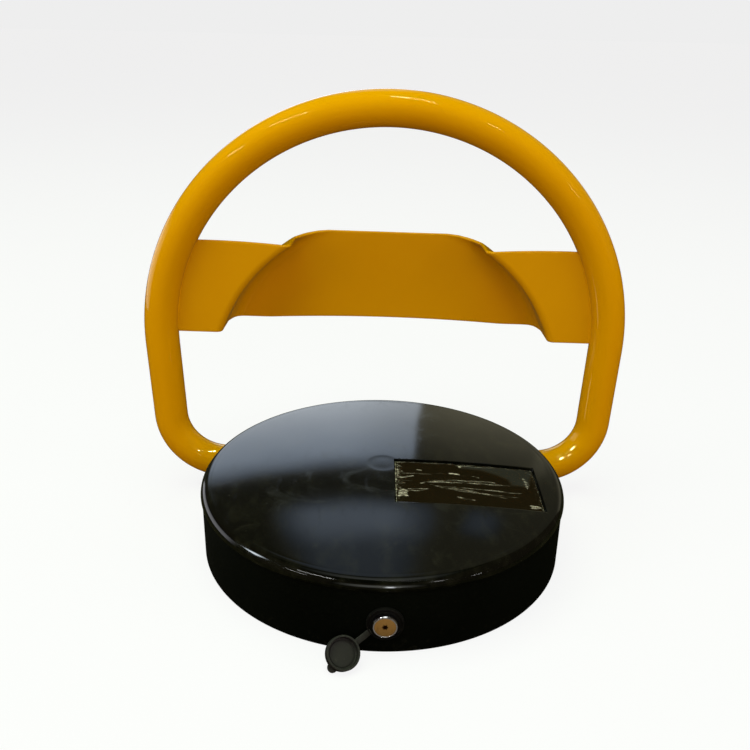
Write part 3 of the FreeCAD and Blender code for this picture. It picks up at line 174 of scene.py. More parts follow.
# ---- places worked out from them ----------------------------------------------------
dome_edge = cover_radius - edge_radius
dome_ball = (dome_edge ** 2 + dome_rise ** 2) / (2 * dome_rise)
dish_height = pivot_z + pivot_y
recess_inner = cover_radius + recess_clearance
valley = recess_inner - valley_radius
shoulder = recess_inner + shoulder_radius
plate_top = dish_height + math.sqrt(valley ** 2 - (plate_middle_width / 2) ** 2)
lock_seat = lock_face + lock_head_depth
wall_inner = base_radius - wall_thickness
strap_line = Vector((math.cos(strap_direction), 0, math.sin(strap_direction)))
hinge_axis = Vector((-math.sin(strap_direction), 0, math.cos(strap_direction)))
flip_axis = hinge_axis * math.cos(cap_hinge_tilt) - Vector((0, 1, 0)) * math.sin(cap_hinge_tilt)
hinge_y = lock_face + strap_inset
hinge_point = Vector((lock_x, hinge_y, lock_z)) + strap_line * strap_hinge_distance


def dome_z(x, y, lowered=0.0):
    """Height of the dome over a point, or of a surface that many millimetres below it."""
    return dome_top - lowered - dome_ball + math.sqrt(dome_ball ** 2 - x * x - y * y)


# ---- finishes -----------------------------------------------------------------------
def tint(red, green, blue):
    """A colour given in screen values from 0 to 255."""
    def straight(value):
        value = value / 255
        return value / 12.92 if value <= 0.04045 else ((value + 0.055) / 1.055) ** 2.4
    return (straight(red), straight(green), straight(blue), 1.0)


class Wire:
    """One varying value in a finish. Sums on it become Math nodes."""

    def __init__(self, nodes, socket):
        self.nodes = nodes
        self.socket = socket

    def maths(self, operation, *values):
        return self.nodes.add("ShaderNodeMath", {"operation": operation}, dict(enumerate(values)))

    def __add__(self, other):
        return self.maths("ADD", self, other)

    def __radd__(self, other):
        return self.maths("ADD", other, self)

    def __sub__(self, other):
        return self.maths("SUBTRACT", self, other)

    def __rsub__(self, other):
        return self.maths("SUBTRACT", other, self)

    def __mul__(self, other):
        return self.maths("MULTIPLY", self, other)

    def __rmul__(self, other):
        return self.maths("MULTIPLY", other, self)


class Nodes:
    """The node tree of a material or a world."""

    def __init__(self, owner):
        owner.use_nodes = True
        self.tree = owner.node_tree
        self.tree.nodes.clear()

    def add(self, kind, settings=None, inputs=None, output=0):
        node = self.tree.nodes.new(kind)
        for name, value in (settings or {}).items():
            setattr(node, name, value)
        for name, value in (inputs or {}).items():
            if isinstance(value, Wire):
                self.tree.links.new(value.socket, node.inputs[name])
            else:
                node.inputs[name].default_value = value
        return None if output is None else Wire(self, node.outputs[output])


class Finish(Nodes):
    """A material, with patterns sized in millimetres on the object's own coordinates."""

    def __init__(self, name):
        self.material = bpy.data.materials.new(name)
        super().__init__(self.material)
        self.place = self.add("ShaderNodeTexCoord", output="Object")

    def axis(self, letter):
        """The place along one axis, in millimetres."""
        return self.add("ShaderNodeSeparateXYZ", inputs={0: self.place}, output=letter) * (1 / MM)

    def grain(self, size, detail=2.0, rough=0.5, stretch=(1, 1, 1), turn=(0, 0, 0), bend=0.0):
        """Noise with lumps of about one size."""
        place = self.add("ShaderNodeMapping", inputs={
            "Vector": self.place, "Scale": stretch, "Rotation": turn})
        return self.add("ShaderNodeTexNoise", inputs={
            "Vector": place, "Scale": 1 / MM / size, "Detail": detail, "Roughness": rough,
            "Distortion": bend})

    def specks(self, size, radius, shift=0.0):
        """1 inside scattered round specks and 0 outside them."""
        place = self.add("ShaderNodeMapping", inputs={"Vector": self.place, "Location": (shift, shift, 0)})
        distance = self.add("ShaderNodeTexVoronoi", inputs={"Vector": place, "Scale": 1 / MM / size},
                            output="Distance")
        return self.fade(distance, radius / size, radius / size * 0.5)

    def waves(self, direction, scale, distortion, detail):
        """Parallel bands across one axis."""
        return self.add("ShaderNodeTexWave", {"wave_type": "BANDS", "bands_direction": direction}, {
            "Vector": self.place, "Scale": scale, "Distortion": distortion, "Detail": detail})

    def fade(self, value, start, end, low=0.0, high=1.0):
        """low at start, high at end, smooth between."""
        return self.add("ShaderNodeMapRange", {"interpolation_type": "SMOOTHSTEP"}, {
            "Value": value, "From Min": start, "From Max": end, "To Min": low, "To Max": high})

    def band(self, value, start, full, fading, end):
        """1 from full to fading, 0 before start and after end."""
        return self.fade(value, start, full) * self.fade(value, end, fading)

    def mix(self, share, first, second):
        return self.add("ShaderNodeMix", {"data_type": "RGBA"}, {0: share, 6: first, 7: second}, output=2)

    def bump(self, height, depth, strength=1.0, over=None):
        """Height in 0..1, depth in millimetres."""
        inputs = {"Height": height, "Distance": depth * MM, "Strength": strength}
        if over is not None:
            inputs["Normal"] = over
        return self.add("ShaderNodeBump", inputs=inputs)

    def show(self, shader):
        self.add("ShaderNodeOutputMaterial", inputs={"Surface": shader}, output=None)
        return self.material

    def surface(self, **sockets):
        """A Principled surface; each argument is a socket's name with _ for its spaces."""
        inputs = {name.replace("_", " "): value for name, value in sockets.items()}
        return self.show(self.add("ShaderNodeBsdfPrincipled", inputs=inputs))

    def glow(self, colour, power):
        return self.show(self.add("ShaderNodeEmission", inputs={"Color": colour, "Strength": power}))


def yellow_paint(name, satin=0.0):
    """Amber powder coat: a little orange peel, faint dust and slow colour drift."""
    finish = Finish(name)
    drift = finish.grain(60, detail=3)
    peel = finish.grain(2.6, detail=1.5)
    fine = finish.grain(0.9, detail=1)
    dust = finish.fade(finish.grain(14, detail=5, rough=0.65), 0.58, 0.8)
    colour = finish.mix(drift, tint(219, 148, 0), tint(225, 155, 0))
    colour = finish.mix(dust * 0.05, colour, tint(226, 170, 20))
    rough = 0.05 + 0.28 * satin + 0.02 * drift + 0.06 * dust
    normal = finish.bump(peel * 0.75 + fine * 0.25, 0.002 + 0.03 * satin)
    return finish.surface(Base_Color=colour, Roughness=rough, Normal=normal, IOR=1.5,
                          Specular_IOR_Level=0.5, Specular_Tint=(1.0, 0.96, 0.40, 1.0))


def gloss_black():
    """Polished moulding: slow waviness in the reflections, dust specks, smudges and rubbed arcs."""
    finish = Finish("cover_gloss_black")
    wave = finish.grain(90, detail=1)
    ripple = finish.grain(9, detail=2)
    smear = finish.fade(finish.grain(40, detail=4, rough=0.6, bend=1.2), 0.52, 0.72)
    rub = finish.fade(finish.grain(7, detail=3, stretch=(1, 0.25, 1), turn=(0, 0, 0.5)), 0.55, 0.75)
    dust = finish.specks(17, 0.42) + finish.specks(11, 0.22, shift=0.31)
    cloud = finish.grain(16, detail=5, rough=0.7, stretch=(1, 0.5, 1), turn=(0, 0, 0.7))
    haze = smear * 0.6 + rub * smear * 0.4 + finish.fade(cloud, 0.45, 0.75) * 0.6
    colour = finish.mix(haze * 0.5, tint(5, 5, 3), tint(40, 38, 30))
    colour = finish.mix(dust * 0.45, colour, tint(130, 126, 116))
    rough = 0.07 + 0.06 * smear + 0.05 * rub + 0.04 * cloud + 0.3 * dust
    normal = finish.bump(wave, 0.9, 0.6)
    normal = finish.bump(ripple * 0.6 + cloud * 0.4, 0.012, 1.0, over=normal)
    return finish.surface(Base_Color=colour, Roughness=rough, Normal=normal, IOR=1.5)


def textured_black():
    """Matte powder coat with a fine sandy texture and some dust low down."""
    finish = Finish("wall_textured_black")
    sand = finish.grain(0.8, detail=3, rough=0.7)
    lumps = finish.grain(2.4, detail=2)
    drift = finish.grain(45, detail=4)
    low = finish.fade(finish.axis("Z"), 16.0, 0.0)
    dust = finish.fade(finish.grain(5, detail=5, rough=0.7), 0.55, 0.75)
    colour = finish.mix(drift, tint(2, 3, 1), tint(6, 8, 5))
    colour = finish.mix(finish.fade(sand, 0.42, 0.66) * 0.4, colour, tint(14, 16, 12))
    colour = finish.mix(dust * (0.02 + 0.10 * low), colour, tint(92, 86, 74))
    rough = 0.62 + 0.15 * drift
    normal = finish.bump(sand * 0.6 + lumps * 0.4, 0.16)
    return finish.surface(Base_Color=colour, Roughness=rough, Normal=normal, Specular_IOR_Level=0.10)


def panel_brown():
    """Dark brown gloss sheet."""
    finish = Finish("panel_dark_brown")
    drift = finish.grain(35, detail=4)
    mottle = finish.grain(3.0, detail=4, rough=0.7)
    colour = finish.mix(drift, tint(23, 16, 9), tint(30, 21, 12))
    colour = finish.mix(mottle * 0.5, colour, tint(17, 12, 6))
    return finish.surface(Base_Color=colour, Roughness=0.42 + 0.1 * mottle, IOR=1.07,
                          Normal=finish.bump(mottle, 0.03))


def clear_film():
    """Thin clear film: whitened where it is creased, with part of the creases' glint and a highlight along
    its border painted into that white, and clouded where it has lifted.
    """
    finish = Finish("film_clear")
    crease = finish.add("ShaderNodeAttribute", {"attribute_name": "crease"}, output="Fac")
    cloud = finish.add("ShaderNodeAttribute", {"attribute_name": "cloud"}, output="Fac")
    fibre = finish.grain(2.2, detail=4, rough=0.7, stretch=(0.22, 1.6, 1))
    crumbs = finish.grain(1.3, detail=3, rough=0.7)
    strands = finish.fade(fibre, 0.30, 0.72, 0.25, 1.25) * finish.fade(crumbs, 0.2, 0.6, 0.6, 1.1)
    # crease whitening together with a painted glint on the creases and a painted highlight along the border
    whitening_and_highlight = finish.fade(crease * strands, 0.10, 1.0)
    veil = cloud * (0.5 + 0.5 * fibre)
    colour = finish.mix(whitening_and_highlight, tint(84, 74, 64), tint(196, 184, 186))
    colour = finish.mix(veil * (1 - whitening_and_highlight), colour, tint(68, 70, 76))
    alpha = finish.add("ShaderNodeMath", {"operation": "ADD", "use_clamp": True},
                       {0: whitening_and_highlight, 1: veil * 0.22 + 0.01})
    return finish.surface(Base_Color=colour, Roughness=0.35 + 0.2 * whitening_and_highlight, Alpha=alpha, IOR=1.12,
                          Normal=finish.bump(fibre, 0.08))


def rubber(name, light=0.0, gloss=0.45):
    """Moulded rubber with a dusty bloom."""
    finish = Finish(name)
    bloom = finish.grain(6, detail=5, rough=0.65)
    pores = finish.grain(0.35, detail=2)
    dark = tint(20 + light, 20 + light, 21 + light)
    colour = finish.mix(bloom, dark, tint(34 + light, 33 + light, 33 + light))
    dust = finish.fade(finish.grain(2.2, detail=5, rough=0.75), 0.56, 0.8)
    colour = finish.mix(dust * 0.28, colour, tint(120, 112, 100))
    return finish.surface(Base_Color=colour, Roughness=0.5 + 0.18 * bloom, Specular_IOR_Level=gloss,
                          Normal=finish.bump(pores * 0.5 + bloom * 0.5, 0.05))


def metal(name, light, dark, rough, line=(1, 1, 1), line_size=0.6, scratch=0.3, pits=0.02, keyhole_shade_radius=0.0):
    """Metal with a direction of working, scratches and slow tone changes, and painted shade round a keyhole.
    """
    finish = Finish(name)
    tone = finish.grain(14, detail=4)
    lines = finish.grain(line_size, detail=3, rough=0.6, stretch=line)
    scratches = finish.grain(1.6, detail=4, rough=0.7, stretch=(1, 1, 0.15), turn=(0.4, 0.8, 0.3))
    scratches = finish.fade(scratches, 0.60, 0.68)
    colour = finish.mix(tone * 0.6 + lines * 0.4, dark, light)
    colour = finish.mix(scratches * scratch, colour, dark)
    if keyhole_shade_radius:
        # painted shade: dark brown over the keyhole's middle, fading out at the given radius
        across = finish.axis("X") - lock_x
        above = finish.axis("Z") - lock_z
        reach = across * across + above * above
        colour = finish.mix(finish.fade(reach, keyhole_shade_radius * keyhole_shade_radius, 0.3 * keyhole_shade_radius), colour, tint(34, 20, 10))
    return finish.surface(Base_Color=colour, Metallic=1.0, Roughness=rough + 0.10 * tone + 0.12 * lines,
                          Normal=finish.bump(lines * 0.7 + scratches * 0.3, pits))


def plastic(name, light, dark, rough, texture=0.5, depth=0.03, gloss=0.5):
    """Moulded plastic with spark texture and slight sink."""
    finish = Finish(name)
    drift = finish.grain(9, detail=3)
    spark = finish.grain(texture, detail=2)
    colour = finish.mix(drift * 0.7 + spark * 0.3, dark, light)
    return finish.surface(Base_Color=colour, Roughness=rough + 0.12 * drift, Specular_IOR_Level=gloss,
                          Normal=finish.bump(spark, depth))


def board_green():
    """Solder mask with faint tracks below it and a woven glint."""
    finish = Finish("board_solder_mask")
    weave = finish.grain(0.5, detail=1, stretch=(1, 3, 1))
    tracks = finish.fade(finish.waves("X", 120.0, 6.0, 0.0), 0.72, 0.8)
    colour = finish.mix(tracks, tint(12, 92, 48), tint(30, 128, 70))
    return finish.surface(Base_Color=colour, Roughness=0.28 + 0.1 * weave,
                          Normal=finish.bump(tracks * 0.8 + weave * 0.2, 0.04))


def reed_glass():
    """Clear greenish glass."""
    finish = Finish("reed_glass")
    streak = finish.grain(1.5, detail=2, stretch=(1, 0.2, 1))
    colour = finish.mix(streak, tint(150, 190, 165), tint(196, 222, 204))
    return finish.surface(Base_Color=colour, Roughness=0.05 + 0.04 * streak, Alpha=0.55, IOR=1.5)


def winding_copper():
    """Enamelled wire, turn beside turn."""
    finish = Finish("rotor_windings")
    turns = finish.waves("Y", 420.0, 0.4, 1.0)
    tone = finish.grain(5, detail=3)
    colour = finish.mix(turns * 0.7 + tone * 0.3, tint(110, 56, 26), tint(196, 116, 62))
    return finish.surface(Base_Color=colour, Metallic=0.8, Roughness=0.32 + 0.15 * tone,
                          Normal=finish.bump(turns, 0.08))


finishes = {
    "yellow_paint": yellow_paint("paint_amber"),
    "black_wall": textured_black(),
    "black_cover": gloss_black(),
    "dark_panel": panel_brown(),
    "black_rubber": rubber("rubber_black"),
    "lock_chrome": metal("chrome_plate", tint(235, 236, 240), tint(176, 177, 182), 0.10, pits=0.01),
    "lock_brass": metal("brass_face", tint(232, 190, 116), tint(176, 132, 70), 0.24, scratch=0.6, keyhole_shade_radius=2.2),
    "gear_brass": metal("brass_gear", tint(222, 184, 100), tint(170, 128, 60), 0.26),
    "zinc_steel": metal("steel_zinc", tint(196, 200, 206), tint(150, 155, 162), 0.30, line=(0.2, 1, 1)),
    "bare_steel": metal("steel_bare", tint(176, 176, 178), tint(128, 128, 131), 0.27, line=(1, 0.2, 1)),
    "screw_steel": metal("steel_screw", tint(180, 182, 186), tint(132, 134, 140), 0.24),
    "cast_aluminium": metal("aluminium_cast", tint(190, 192, 195), tint(150, 152, 156), 0.42,
                            line_size=0.9, scratch=0.1, pits=0.10),
    "magnet_nickel": metal("nickel_plate", tint(214, 208, 196), tint(172, 166, 152), 0.16),
    "black_ferrite": plastic("ferrite", tint(52, 52, 56), tint(34, 34, 38), 0.55, depth=0.06),
    "rotor_copper": winding_copper(),
    "white_nylon": plastic("nylon_natural", tint(234, 230, 218), tint(214, 208, 192), 0.38),
    "black_plastic": plastic("plastic_black", tint(30, 30, 31), tint(20, 20, 21), 0.42),
    "cell_sleeve": plastic("cell_sleeve", tint(64, 66, 72), tint(46, 47, 52), 0.22, texture=3.0, depth=0.02),
    "board_green": board_green(),
    "relay_blue": plastic("relay_blue", tint(52, 104, 176), tint(38, 84, 150), 0.34),
    "terminal_green": plastic("terminal_green", tint(52, 150, 84), tint(36, 122, 64), 0.36),
    "reed_glass": reed_glass(),
    "lead_jacket": rubber("lead_jacket", light=6),
}
plate_paint = yellow_paint("paint_amber_satin", satin=0.8)
film_finish = clear_film()
# painted shade and light: the collar gets a darker copy and the cap and strap a lighter copy of the same
# rubber
collar_rubber_painted_shade = rubber("rubber_collar", light=-13, gloss=0.2)
cap_rubber_painted_light = rubber("rubber_cap", light=9)


# ---- drawing helpers ----------------------------------------------------------------
class Pen:
    """Draws an outline in the XZ plane, from point to point."""

    def __init__(self, mesh, x, z):
        self.mesh = mesh
        self.tip = mesh.verts.new((x, 0, z))
        self.first = self.tip

    def run(self, x, z):
        self.tip = bmesh.ops.extrude_vert_indiv(self.mesh, verts=[self.tip])["verts"][0]
        self.tip.co = (x, 0, z)

    def bend(self, x, z, degrees, steps):
        """Goes round a centre; a positive turn is clockwise with X to the right and Z up."""
        made = bmesh.ops.spin(self.mesh, geom=[self.tip], cent=(x, 0, z), axis=(0, 1, 0),
                              angle=math.radians(degrees), steps=steps, use_merge=False)
        self.tip = [item for item in made["geom_last"] if isinstance(item, bmesh.types.BMVert)][0]

    def corner(self, x, z, radius, next_x, next_z, steps=4):
        """Runs towards a corner and round it, on the way to the next point."""
        here = Vector((self.tip.co.x, self.tip.co.z))
        point = Vector((x, z))
        coming = (point - here).normalized()
        going = (Vector((next_x, next_z)) - point).normalized()
        turn = math.atan2(coming.cross(going), coming.dot(going))
        back = radius * math.tan(abs(turn) / 2)
        start = point - coming * back
        side = Vector((-coming.y, coming.x)) * (1 if turn > 0 else -1)
        centre = start + side * radius
        self.run(start.x, start.y)
        self.bend(centre.x, centre.y, -math.degrees(turn), steps)

    def path(self, *points):
        """Corners as (x, z, radius); the last one is the end."""
        for index, (x, z, radius) in enumerate(points):
            if radius and index + 1 < len(points):
                self.corner(x, z, radius, *points[index + 1][:2])
            else:
                self.run(x, z)

    def close(self):
        self.mesh.edges.new((self.tip, self.first))


def lathe(mesh, steps):
    """Turns the outline about the Z axis into a closed skin."""
    bmesh.ops.spin(mesh, geom=mesh.verts[:] + mesh.edges[:], cent=(0, 0, 0), axis=(0, 0, 1),
                   angle=math.tau, steps=steps, use_merge=True)
    bmesh.ops.remove_doubles(mesh, verts=mesh.verts[:], dist=0.001)
    faced(mesh)


def turned(steps, start, *points):
    """A solid turned about Z from corners as (x, z, radius); an outline off the axis is closed first."""
    mesh = bmesh.new()
    pen = Pen(mesh, *start)
    pen.path(*points)
    if start[0]:
        pen.close()
    lathe(mesh, steps)
    return mesh


def corners_of(items):
    return [item for item in items if isinstance(item, bmesh.types.BMVert)]


def edges_of(items):
    return [item for item in items if isinstance(item, bmesh.types.BMEdge)]


def edges_at(corners):
    """Every edge that meets one of the corners."""
    return list({edge for corner in corners for edge in corner.link_edges})


def faced(mesh):
    """Turns the faces outwards."""
    bmesh.ops.recalc_face_normals(mesh, faces=mesh.faces[:])


def slab(mesh, way):
    """Makes a closed flat outline a slab as thick as way is long."""
    face = bmesh.ops.contextual_create(mesh, geom=mesh.edges[:])["faces"]
    made = bmesh.ops.extrude_face_region(mesh, geom=face)["geom"]
    bmesh.ops.translate(mesh, verts=corners_of(made), vec=way)


def stretched(mesh, edges, way):
    """Pulls a row of edges along a straight line; returns the far row."""
    made = bmesh.ops.extrude_edge_only(mesh, edges=edges)["geom"]
    moved = corners_of(made)
    bmesh.ops.translate(mesh, verts=moved, vec=way)
    moved = set(moved)
    return [edge for edge in edges_of(made) if moved.issuperset(edge.verts)]


def swung(mesh, edges, centre, axis, degrees, steps):
    """Sweeps a row of edges round an axis; returns the far row."""
    made = bmesh.ops.spin(mesh, geom=edges, cent=centre, axis=axis, angle=math.radians(degrees),
                          steps=steps, use_merge=False)
    return edges_of(made["geom_last"])


def softened(mesh, edges, width, segments=3):
    """Rounds the edges of a drawn mesh."""
    bmesh.ops.bevel(mesh, geom=edges, offset=width, offset_type="OFFSET", affect="EDGES",
                    segments=segments, profile=0.5, material=-1, clamp_overlap=True)


def sharp_edges(mesh, degrees):
    """The edges where two faces meet at more than an angle."""
    limit = math.radians(degrees)
    return [edge for edge in mesh.edges if len(edge.link_faces) == 2 and edge.calc_face_angle() > limit]


def brick(mesh, low, high, edge=0.0):
    """A block between two corners, with softened edges."""
    low, high = Vector(low), Vector(high)
    size = high - low
    place = Matrix.Translation((low + high) / 2) @ Matrix.Diagonal((*size, 1))
    made = bmesh.ops.create_cube(mesh, size=1.0, matrix=place)["verts"]
    if edge:
        softened(mesh, edges_at(made), edge)
    return made


def to_object(mesh, name, finish, smooth=32.0):
    """Makes the drawn mesh an object, in metres."""
    bmesh.ops.scale(mesh, vec=(MM, MM, MM), verts=mesh.verts[:])
    data = bpy.data.meshes.new(name)
    mesh.to_mesh(data)
    mesh.free()
    data.shade_smooth()
    data.set_sharp_from_angle(angle=math.radians(smooth))
    piece = bpy.data.objects.new(name, data)
    bpy.context.scene.collection.objects.link(piece)
    data.materials.append(finish)
    return piece


def dressed(piece, body, slot, *nodes):
    """Says what the piece rides on and hides the CAD nodes that it stands for; the slot argument is not used.
    """
    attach(piece, body)
    if nodes:
        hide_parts(*nodes)


def shown(mesh, name, smooth, body, slot, node, finish=None):
    """Makes a finished mesh a piece of the model, in its slot's finish or its own."""
    dressed(to_object(mesh, name, finish or finishes[slot], smooth), body, slot, node)


def bevelled(piece, width, segments, angle):
    """Rounds the piece's edges that are sharper than an angle."""
    soft = piece.modifiers.new("rounding", "BEVEL")
    soft.width = width * MM
    soft.segments = segments
    soft.limit_method = "ANGLE"
    soft.angle_limit = math.radians(angle)
    soft.profile = 0.5


def thickened(piece, thickness, offset):
    """Gives a skin its thickness; returns the modifier."""
    sheet = piece.modifiers.new("sheet", "SOLIDIFY")
    sheet.thickness = thickness * MM
    sheet.offset = offset
    return sheet


def settled(piece, smooth=32.0):
    """Applies what the modifiers make."""
    graph = bpy.context.evaluated_depsgraph_get()
    shape = bpy.data.meshes.new_from_object(piece.evaluated_get(graph))
    piece.modifiers.clear()
    piece.data = shape
    shape.shade_smooth()
    shape.set_sharp_from_angle(angle=math.radians(smooth))


def cut_by(piece, cutters):
    """Cuts the piece with each mesh and drops the cutters."""
    tools = []
    for index, mesh in enumerate(cutters):
        faced(mesh)
        tool = to_object(mesh, "cutter_%d" % index, piece.data.materials[0])
        cut = piece.modifiers.new("cut", "BOOLEAN")
        cut.operation = "DIFFERENCE"
        cut.solver = "EXACT"
        cut.object = tool
        tools.append(tool)
    settled(piece)
    for tool in tools:
        bpy.data.objects.remove(tool)


def refined_copy(node, name, width, body, slot):
    """A CAD node's own shape, welded into clean faces with softened edges."""
    mesh = bmesh.new()
    mesh.from_mesh(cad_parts[node].data)
    bmesh.ops.scale(mesh, vec=(1 / MM, 1 / MM, 1 / MM), verts=mesh.verts[:])
    bmesh.ops.remove_doubles(mesh, verts=mesh.verts[:], dist=0.002)
    bmesh.ops.dissolve_limit(mesh, angle_limit=math.radians(1.0), verts=mesh.verts[:],
                             edges=mesh.edges[:])
    piece = to_object(mesh, name, finishes[slot], 28)
    bevelled(piece, width, 2, 28)
    dressed(piece, body, slot, node)


# ---- loop ---------------------------------------------------------------------------
def loop_pipe():
    """The bent tube: cut end, level run, elbow, leg and half the arch, then its mirror image."""
    mesh = bmesh.new()
    lean = math.radians(leg_lean)
    arch_centre = Vector((0, pivot_y, arch_z))
    leg_top = arch_centre + Vector((math.cos(lean), 0, -math.sin(lean))) * arch_radius
    foot_x = leg_top.x - (leg_top.z - pivot_z) * math.tan(lean)
    reach = elbow_radius * math.tan((math.pi / 2 - lean) / 2)
    start = Vector((tube_end, pivot_y, pivot_z))
    level_end = Vector((foot_x - reach, pivot_y, pivot_z))
    leg_end = Vector((foot_x, pivot_y, pivot_z)) + Vector((math.sin(lean), 0, math.cos(lean))) * reach
    y_axis = (0, 1, 0)
    for radius in (tube_radius, tube_radius - tube_wall):
        place = Matrix.Translation(start) @ Matrix.Rotation(math.pi / 2, 4, "Y")
        ring = bmesh.ops.create_circle(mesh, segments=64, radius=radius, matrix=place)["verts"]
        row = edges_at(ring)
        row = stretched(mesh, row, level_end - start)
        row = swung(mesh, row, level_end + Vector((0, 0, elbow_radius)), y_axis, leg_lean - 90, 30)
        row = stretched(mesh, row, leg_top - leg_end)
        swung(mesh, row, arch_centre, y_axis, -90 - leg_lean, 84)
    for corner in mesh.verts:
        if abs(corner.co.x) < 0.01:
            corner.co.x = 0.0
    everything = mesh.verts[:] + mesh.edges[:] + mesh.faces[:]
    bmesh.ops.mirror(mesh, geom=everything, matrix=Matrix.Identity(4), merge_dist=0.01, axis="X")
    for side in (-1, 1):
        open_ends = [edge for edge in mesh.edges if edge.is_boundary and edge.verts[0].co.x * side > 0]
        bmesh.ops.bridge_loops(mesh, edges=open_ends)
    faced(mesh)
    shown(mesh, "loop_pipe", 60, "arm", "yellow_paint", "loop_tube")


# ---- cross plate --------------------------------------------------------------------
def plate_section():
    """The bent sheet's middle line from its raised middle, round the recess and down to the wing."""
    mesh = bmesh.new()
    pen = Pen(mesh, recess_inner - flank_reach, recess_depth)
    pen.path((recess_inner - 6.6, recess_depth, 11.0), (recess_inner - 0.9, recess_depth - 17.0, 14.0),
             (recess_inner - 0.1, 9.0, 0), (recess_inner, 0.0, 4.5), (shoulder, 0.0, 0))
    points = [(corner.co.x, corner.co.z) for corner in mesh.verts]
    mesh.free()
    return points


def plate_columns():
    """Places along the sheet from its middle to its end, as (kind, value) pairs."""
    in_middle = 22
    in_wing = 16
    columns = [("middle", step / in_middle) for step in range(in_middle)]
    columns += [("ring", point) for point in plate_section()]
    columns += [("wing", step / in_wing) for step in range(1, in_wing + 1)]
    return columns


def plate_point(column, height):
    """Where a column is at some height: distance from the middle and depth."""
    kind, value = column
    rise = height - dish_height
    if kind == "middle":
        return value * math.sqrt((recess_inner - flank_reach) ** 2 - rise ** 2), recess_depth
    if kind == "ring":
        return math.sqrt(value[0] ** 2 - rise ** 2), value[1]
    near = math.sqrt(shoulder ** 2 - rise ** 2)
    far = math.sqrt((arch_radius - tube_radius + wing_overlap) ** 2 - (height - arch_z) ** 2)
    return near + (far - near) * value, 0.0


def plate_edges(x):
    """Lower and upper edge of the sheet at a distance from its middle."""
    inner = plate_middle_width / 2
    above = plate_top - dish_height
    kink = math.sqrt((recess_inner + shoulder_radius / 2) ** 2 - above ** 2)
    crown = plate_top + plate_crown
    low_end = plate_top - plate_dip
    lower = plate_bottom
    if x < inner * 2:
        lower += plate_arch * (1 - (x / (inner * 2)) ** 2)
    if x <= inner:
        return lower, crown
    if x <= kink:
        share = (x - inner) / (kink - inner)
        return lower, crown - (plate_dip + plate_crown) * share * share * (3 - 2 * share)
    share = (x - kink) / (arch_radius - kink)
    return lower, low_end + plate_end_rise * (share + 4 * plate_end_bow * share * (1 - share))


def recess_plate():
    """One bent sheet: two flat wings and a raised middle that clears the base when folded."""
    mesh = bmesh.new()
    columns = plate_columns()
    count = len(columns) - 1
    rows = 24
    rounds = 40  # until a point's place and its edges' heights agree
    grid = bmesh.ops.create_grid(mesh, x_segments=2 * count, y_segments=rows, size=1.0)["verts"]
    for corner in grid:
        step = round(corner.co.x * count)
        share = (corner.co.y + 1) / 2
        height = plate_bottom + plate_height * share
        for _ in range(rounds):
            x, depth = plate_point(columns[abs(step)], height)
            lower, upper = plate_edges(x)
            height = lower + (upper - lower) * share
        corner.co = (x if step >= 0 else -x, pivot_y + depth, height)
    bmesh.ops.rotate(mesh, verts=mesh.verts[:], cent=(0, pivot_y, dish_height),
                     matrix=Matrix.Rotation(plate_tilt, 3, "Y"))
    faced(mesh)
    piece = to_object(mesh, "recess_plate", plate_paint, 60)
    thickened(piece, sheet_thickness, 0.0).use_even_offset = True
    bevelled(piece, plate_edge, 4, 50)
    settled(piece, 50)
    dressed(piece, "arm", "yellow_paint", "cross_plate")


def weld_beads():
    """Four beads where the sheet's ends meet the tube, with the ripple of each pass under the paint."""
    mesh = bmesh.new()
    ring_radius = arch_radius - tube_radius + weld_offset
    low = plate_bottom + weld_stop
    high = plate_top - weld_stop
    first = math.asin((low - arch_z) / ring_radius)
    last = math.asin((high - arch_z) / ring_radius)
    steps = 96
    for way in (-1, 1):
        for side in (-1, 1):
            centre = Vector((0, pivot_y + way * (sheet_thickness / 2 + weld_offset), arch_z))
            place = Matrix.Translation(centre + Vector((ring_radius, 0, 0)))
            made = bmesh.ops.create_circle(mesh, segments=16, radius=weld_radius, matrix=place)["verts"]
            bmesh.ops.rotate(mesh, verts=made, cent=centre, matrix=Matrix.Rotation(-first, 3, "Y"))
            row = edges_at(made)
            known = set(mesh.verts) - set(made)
            ends = [row, swung(mesh, row, centre, (0, 1, 0), -math.degrees(last - first), steps)]
            for end in ends:
                bmesh.ops.edgeloop_fill(mesh, edges=end)
            bead = [corner for corner in mesh.verts if corner not in known]
            for corner in bead:
                out = corner.co - centre
                turn = math.atan2(out.z, out.x)
                share = (turn - first) / (last - first)
                middle = centre + Vector((math.cos(turn), 0, math.sin(turn))) * ring_radius
                ripple = 1 - 0.10 * abs(math.sin(share * 60)) + 0.05 * noise.noise(corner.co * 0.3)
                taper = min(1.0, min(share, 1 - share) * 40 + 0.25)
                corner.co = middle + (corner.co - middle) * ripple * math.sin(taper * math.pi / 2)
                corner.co.y = middle.y + (corner.co.y - middle.y) * 0.5
            if side < 0:
                bmesh.ops.scale(mesh, vec=(-1, 1, 1), verts=bead)
            bmesh.ops.rotate(mesh, verts=bead, cent=centre, matrix=Matrix.Rotation(plate_tilt, 3, "Y"))
    faced(mesh)
    shown(mesh, "weld_beads", 60, "arm", "yellow_paint", "plate_welds")


